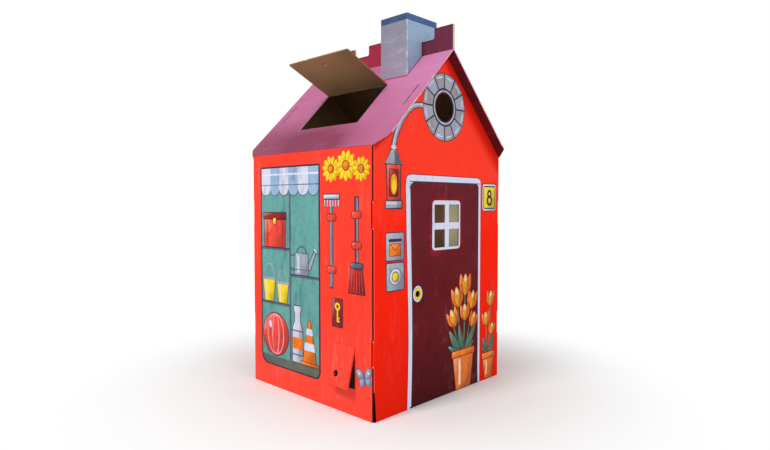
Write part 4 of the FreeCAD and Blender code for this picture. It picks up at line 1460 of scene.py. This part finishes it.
def potted_tulips(canvas, x, wide, tall, leaves, heads, bend, rise):
    """A pot, its leaves and its flowers; bend is how far a stem leans at its foot and half way up."""
    for dx, y, _, _ in heads:
        points = [(x + dx * bend[0], tall), (x + dx * bend[1], tall + (y - tall) * 0.5), (x + dx, y)]
        canvas.line("leaf", flow(points, closed=False), 5.5, coat=1)
    for dx, y, long, angle in leaves:
        leaf(canvas, x + dx, y, long, angle)
    for dx, y, size, angle in heads:
        tulip(canvas, x + dx, y + rise, size, angle)
    pot(canvas, x, wide, tall)


class PLAYHOUSE_OT_flower_pots(bpy.types.Operator):
    """Pots of orange tulips, one on the door and one beside it"""
    bl_idname = "playhouse.flower_pots"
    bl_label = "Flower pots"

    def execute(self, context):
        canvas = gable_canvas("door")
        leaves = ((-6, 116, 120, 128), (6, 116, 116, 56), (-2, 130, 96, 104), (8, 120, 66, 34),
                  (-12, 120, 84, 152))
        heads = ((-58, 232, 66, 26), (-34, 300, 72, 12), (10, 338, 76, -2), (50, 282, 66, -14),
                 (8, 244, 60, 4), (56, 214, 54, -24))
        potted_tulips(canvas, 108, 116, 118, leaves, heads, (0.15, 0.6), 18)
        canvas.finish("door_flower_pot", "door_board")
        canvas = gable_canvas()
        leaves = ((-4, 80, 84, 112), (4, 80, 88, 70), (0, 80, 60, 132))
        heads = ((-16, 206, 54, 10), (12, 276, 58, -4), (20, 166, 46, -16))
        potted_tulips(canvas, 260, 70, 80, leaves, heads, (0.2, 0.7), 14)
        canvas.finish("wall_flower_pot", "red_board")
        return {"FINISHED"}


# ---- cut edges and creases ----

WAVE_STEPS = 8


def thin_faces(node):
    """The long thin flat faces of a node, where its board was cut."""
    shape = bmesh.new()
    shape.from_mesh(frame["nodes"][node].data)
    bmesh.ops.remove_doubles(shape, verts=shape.verts, dist=1e-6)
    bmesh.ops.dissolve_limit(shape, angle_limit=math.radians(1), verts=shape.verts, edges=shape.edges)
    found = []
    for face in shape.faces:
        if len(face.verts) != 4:
            continue
        spots = [vert.co.copy() for vert in face.verts]
        first, second = spots[1] - spots[0], spots[2] - spots[1]
        if first.length < second.length:
            spots = spots[1:] + spots[:1]
            first, second = spots[1] - spots[0], spots[2] - spots[1]
        if abs(second.length - BOARD) < 0.7 * MM and first.length > 3 * BOARD:
            found.append((spots[0], first, second, face.normal.copy()))
    shape.free()
    return found


def paper_finish(node, key):
    """The end of one paper at a node's cut edges, with the paint that ran over it."""
    finish = Finish(f"{node}_{key}")
    return finish.close(finish.edge(*edge_paint(finish, node), getattr(paints(), key)))


class Strip:
    """Paper ends that stand a little proud of cut faces."""

    papers = ("liner", "flute")

    def __init__(self):
        self.shape = bmesh.new()

    def ribbon(self, left, right, out, paper):
        """A raised ribbon between two lines of points."""
        lift = out * sizes().flute_proud
        rows = [[self.shape.verts.new(spot) for spot in line]
                for line in (left, [s + lift for s in left], [s + lift for s in right], right)]
        for lower, upper in zip(rows, rows[1:]):
            for step in range(len(lower) - 1):
                corners = (lower[step], lower[step + 1], upper[step + 1], upper[step])
                self.shape.faces.new(corners).material_index = self.papers.index(paper)

    def straight(self, corner, along, across, out, paper):
        self.ribbon([corner, corner + along], [corner + across, corner + across + along], out, paper)

    def dress(self, corner, along, across, out, angled):
        """Two liners and the flute between them along one cut face."""
        paper, pitch = sizes().liner, sizes().flute_pitch
        one, deep = along.normalized(), across.normalized()
        for start in (0, across.length - paper):
            self.straight(corner + deep * start, along, deep * paper, out, "liner")
        half = paper * 0.4
        inner = across.length / 2 - paper - half
        centre = corner + across / 2
        if angled < 0.3:
            self.straight(centre + deep * inner * 0.3, along, deep * 2 * half, out, "flute")
            return
        steps = max(2, round(along.length / (pitch / angled) * WAVE_STEPS))
        left, right = [], []
        for step in range(steps + 1):
            distance = along.length * step / steps
            wave = math.cos(2 * math.pi * distance * angled / pitch)
            spot = centre + one * distance + deep * inner * wave
            left.append(spot - deep * half)
            right.append(spot + deep * half)
        self.ribbon(left, right, out, "flute")

    def finish(self, name, node, body, slot):
        bmesh.ops.recalc_face_normals(self.shape, faces=self.shape.faces)
        mesh = mesh_of(name, self.shape)
        for key in self.papers:
            mesh.materials.append(paper_finish(node, key))
        piece = linked(name, mesh)
        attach(piece, body)


class PLAYHOUSE_OT_cut_edges(bpy.types.Operator):
    """Show the two papers and the wavy one between them at every cut edge"""
    bl_idname = "playhouse.cut_edges"
    bl_label = "Cut edges"

    def execute(self, context):
        slots = {part["node"]: part["material_slot"] for part in frame["record"]["subparts"]}
        for node, piece in frame["nodes"].items():
            strip = Strip()
            for corner, along, across, out in thin_faces(node):
                if self.hidden(node, corner, out):
                    continue
                grain = self.grain(node, corner + along / 2)
                angled = math.sqrt(max(0, 1 - along.normalized().dot(grain) ** 2))
                strip.dress(corner, along, across, out, angled)
            strip.finish(f"{node}_cut_edges", node, piece.parent.name.split(":")[1], slots[node])
        return {"FINISHED"}

    def hidden(self, node, corner, out):
        """Whether a cut face stands on the floor, or is a gable's that lies under the roof."""
        on_floor = out.z < -0.9 and corner.z < BOARD
        return on_floor or ("gable" in node and abs(out.x) > 0.3 and out.z > 0.3)

    def grain(self, node, spot):
        """Which way the flutes run at one cut face."""
        if node == "roof_hatch":
            return HATCH_OUT.cross(Y)
        if node == "side_flap":
            return FLAP_OUT.cross(Y)
        sloping = "side_sheet" in node and spot.z > EAVE_Z + BOARD and abs(spot.x) > 2 * BOARD
        side = -1 if spot.x < 0 else 1
        return Vector((SLOPE.z * -side, 0, -SLOPE.x)).normalized() if sloping else Z


class Crease:
    """Bent paper over one fold, from the flap's outer face to the sheet's, in steps and lines."""

    steps = 8
    lines = 12

    def __init__(self, flap, sheet):
        """Flap and sheet are each the way across a face from the fold, and the face's normal."""
        self.flap, self.sheet = flap, sheet

    def bend(self):
        """Points across the fold with the way up from each."""
        reach = sizes().crease_reach
        for step in range(self.steps + 1):
            t = step / self.steps
            side, far = (self.flap[0], 1 - 2 * t) if t < 0.5 else (self.sheet[0], 2 * t - 1)
            yield side * reach * far, self.flap[1].lerp(self.sheet[1], t).normalized()

    def band(self, hinge, start, end):
        """A thin closed band along the hinge."""
        shape, spots = bmesh.new(), list(self.bend())
        rows = []
        for line in range(self.lines + 1):
            base = hinge + (start + (end - start) * line / self.lines)
            rows.append(([shape.verts.new(base + spot + lean * 0.15 * MM) for spot, lean in spots],
                         [shape.verts.new(base + spot - lean * 0.02 * MM) for spot, lean in spots]))
        for (top, foot), (next_top, next_foot) in zip(rows, rows[1:]):
            for step in range(self.steps):
                shape.faces.new((top[step], top[step + 1], next_top[step + 1], next_top[step]))
                shape.faces.new((foot[step + 1], foot[step], next_foot[step], next_foot[step + 1]))
            shape.faces.new((top[0], next_top[0], next_foot[0], foot[0]))
            shape.faces.new((next_top[-1], top[-1], foot[-1], next_foot[-1]))
        for top, foot in (rows[0], rows[-1]):
            for step in range(self.steps):
                shape.faces.new((top[step], top[step + 1], foot[step + 1], foot[step]))
        bmesh.ops.recalc_face_normals(shape, faces=shape.faces)
        return shape

    def lay(self, name, joint, flap, axis, key):
        """Lay the crease along a flap's edge, a hair short of its ends, and blend it over the fold."""
        hinge, reach, inset = HINGES[joint], sizes().crease_reach, 1 * MM
        low, high = (corner.dot(axis) - hinge.dot(axis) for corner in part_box(flap))
        mesh = mesh_of(name, self.band(hinge, axis * (low + inset), axis * (high - inset)))
        for polygon in mesh.polygons:
            polygon.use_smooth = True
        mesh.materials.append(painted(key))
        piece = linked(name, mesh)
        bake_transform(piece)


class PLAYHOUSE_OT_creases(bpy.types.Operator):
    """Creased paper over the folds of the door, the hatch and the flap"""
    bl_idname = "playhouse.creases"
    bl_label = "Creases"

    def execute(self, context):
        up_slope = Vector((SLOPE.z, 0, -SLOPE.x))
        hatch = Crease((-HATCH_OUT.cross(-Y), HATCH_OUT), (up_slope, SLOPE))
        hatch.lay("hatch_crease", "hatch_fold", "roof_hatch", Y, "roof_mauve")
        flap = Crease((FLAP_OUT.cross(-Y), FLAP_OUT), (Z, -X))
        flap.lay("flap_crease", "flap_fold", "side_flap", Y, "wall_red")
        door = Crease((-X, -Y), (X, -Y))
        door.lay("door_crease", "door_fold", "door", Z, "frame_white")
        return {"FINISHED"}


# ---- floor, lamps and camera ----

FLOOR_REACH = 30.0
PALE_REACH = (0.42, 1.1)
LAMPS = (
    ("key_lamp", (-2.5, 0.0, 2.7), (0, 0, 0.7), 0.8, "key_light"),
    ("fill_lamp", (-0.4, -3.2, 1.7), (0, 0, 0.6), 2.4, "fill_light"),
)
CAMERA_SPOT = (-1.470, -1.451, 0.638)
CAMERA_TURN = (90 - 2.32, 0, -46.146)
CAMERA_LENS, CAMERA_SENSOR = 26.68, 36.0


class PLAYHOUSE_OT_stage(bpy.types.Operator):
    """Pale floor, soft lamps and the camera"""
    bl_idname = "playhouse.stage"
    bl_label = "Stage"

    def looked_at(self, graph):
        """1 for rays from the camera, from a reflection or through glass, 0 for those that light."""
        path = graph.add("ShaderNodeLightPath").outputs
        seen = graph.math("MAXIMUM", path["Is Camera Ray"], path["Is Glossy Ray"])
        return graph.math("MAXIMUM", seen, path["Is Transmission Ray"])

    def floor(self):
        """Pale where the house stands, white further off."""
        mesh = bpy.data.meshes.new("floor")
        turns = ((-1, -1), (1, -1), (1, 1), (-1, 1))
        mesh.from_pydata([(x * FLOOR_REACH, y * FLOOR_REACH, 0) for x, y in turns], [], [(0, 1, 2, 3)])
        floor = linked("floor", mesh)
        material = bpy.data.materials.new("floor_finish")
        material.use_nodes = True
        graph = Graph(material.node_tree)
        away = graph.ramp(graph.vector("LENGTH", graph.place(), output=1), *PALE_REACH)
        seen = graph.times(away, self.looked_at(graph))
        pale = graph.add("ShaderNodeBsdfPrincipled", {"Base Color": paints().floor, "Roughness": 0.9,
                                                      "Specular IOR Level": 0.1})
        white = graph.add("ShaderNodeEmission", {"Color": (1, 1, 1), "Strength": 1.0})
        mixed = graph.add("ShaderNodeMixShader", {0: seen, 1: pale.outputs[0], 2: white.outputs[0]})
        graph.add("ShaderNodeOutputMaterial", {"Surface": mixed.outputs[0]})
        mesh.materials.append(material)

    def world(self):
        """Even light, and white where it is looked at."""
        world = bpy.data.worlds.new("studio")
        world.use_nodes = True
        graph = Graph(world.node_tree)
        light = graph.add("ShaderNodeBackground", {"Color": (1, 1, 1), "Strength": sizes().sky_light})
        white = graph.add("ShaderNodeBackground", {"Color": (1, 1, 1), "Strength": 1.0})
        mixed = graph.add("ShaderNodeMixShader", {0: self.looked_at(graph), 1: light.outputs[0],
                                                  2: white.outputs[0]})
        graph.add("ShaderNodeOutputWorld", {"Surface": mixed.outputs[0]})
        bpy.context.scene.world = world

    def lamp(self, name, spot, goal, size, power):
        light = bpy.data.lights.new(name, "AREA")
        light.shape, light.size, light.energy = "DISK", size, power
        lamp = linked(name, light)
        lamp.location = spot
        lamp.rotation_euler = (Vector(goal) - Vector(spot)).to_track_quat("-Z", "Y").to_euler()

    def camera(self):
        """Close by at a child's eye level, off the corner between wall and gable."""
        view = bpy.data.cameras.new("camera")
        view.lens, view.sensor_width = CAMERA_LENS, CAMERA_SENSOR
        camera = linked("camera", view)
        camera.location = CAMERA_SPOT
        camera.rotation_euler = [math.radians(angle) for angle in CAMERA_TURN]
        bpy.context.scene.camera = camera

    def execute(self, context):
        self.floor()
        self.world()
        for name, spot, goal, size, power in LAMPS:
            self.lamp(name, spot, goal, size, getattr(sizes(), power))
        self.camera()
        context.scene.view_settings.view_transform = "Standard"
        return {"FINISHED"}


OPERATORS = (
    PLAYHOUSE_OT_board,
    PLAYHOUSE_OT_cut_edges,
    PLAYHOUSE_OT_creases,
    PLAYHOUSE_OT_doorway,
    PLAYHOUSE_OT_door_panel,
    PLAYHOUSE_OT_cupboard,
    PLAYHOUSE_OT_wall_pictures,
    PLAYHOUSE_OT_round_window,
    PLAYHOUSE_OT_gable_pictures,
    PLAYHOUSE_OT_flower_pots,
    PLAYHOUSE_OT_stage,
)


class PLAYHOUSE_PT_finishes(bpy.types.Panel):
    """Lists the finishes of the playhouse"""
    bl_idname = "PLAYHOUSE_PT_finishes"
    bl_label = "Playhouse"
    bl_space_type = "VIEW_3D"
    bl_region_type = "UI"
    bl_category = "Playhouse"

    def draw(self, context):
        for operator in OPERATORS:
            self.layout.operator(operator.bl_idname)
        for group in (context.scene.playhouse_sizes, context.scene.playhouse_paints):
            column = self.layout.column()
            for key in group.bl_rna.properties.keys():
                if key not in ("rna_type", "name"):
                    column.prop(group, key)


CLASSES = (PlayhousePaints, PlayhouseSizes) + OPERATORS + (PLAYHOUSE_PT_finishes,)


def register():
    for item in CLASSES:
        bpy.utils.register_class(item)
    bpy.types.Scene.playhouse_paints = PointerProperty(type=PlayhousePaints)
    bpy.types.Scene.playhouse_sizes = PointerProperty(type=PlayhouseSizes)


def unregister():
    del bpy.types.Scene.playhouse_sizes
    del bpy.types.Scene.playhouse_paints
    for item in reversed(CLASSES):
        bpy.utils.unregister_class(item)


def main():
    register()
    for operator in OPERATORS:
        group, name = operator.bl_idname.split(".")
        getattr(getattr(bpy.ops, group), name)()


if __name__ == "__main__":
    main()
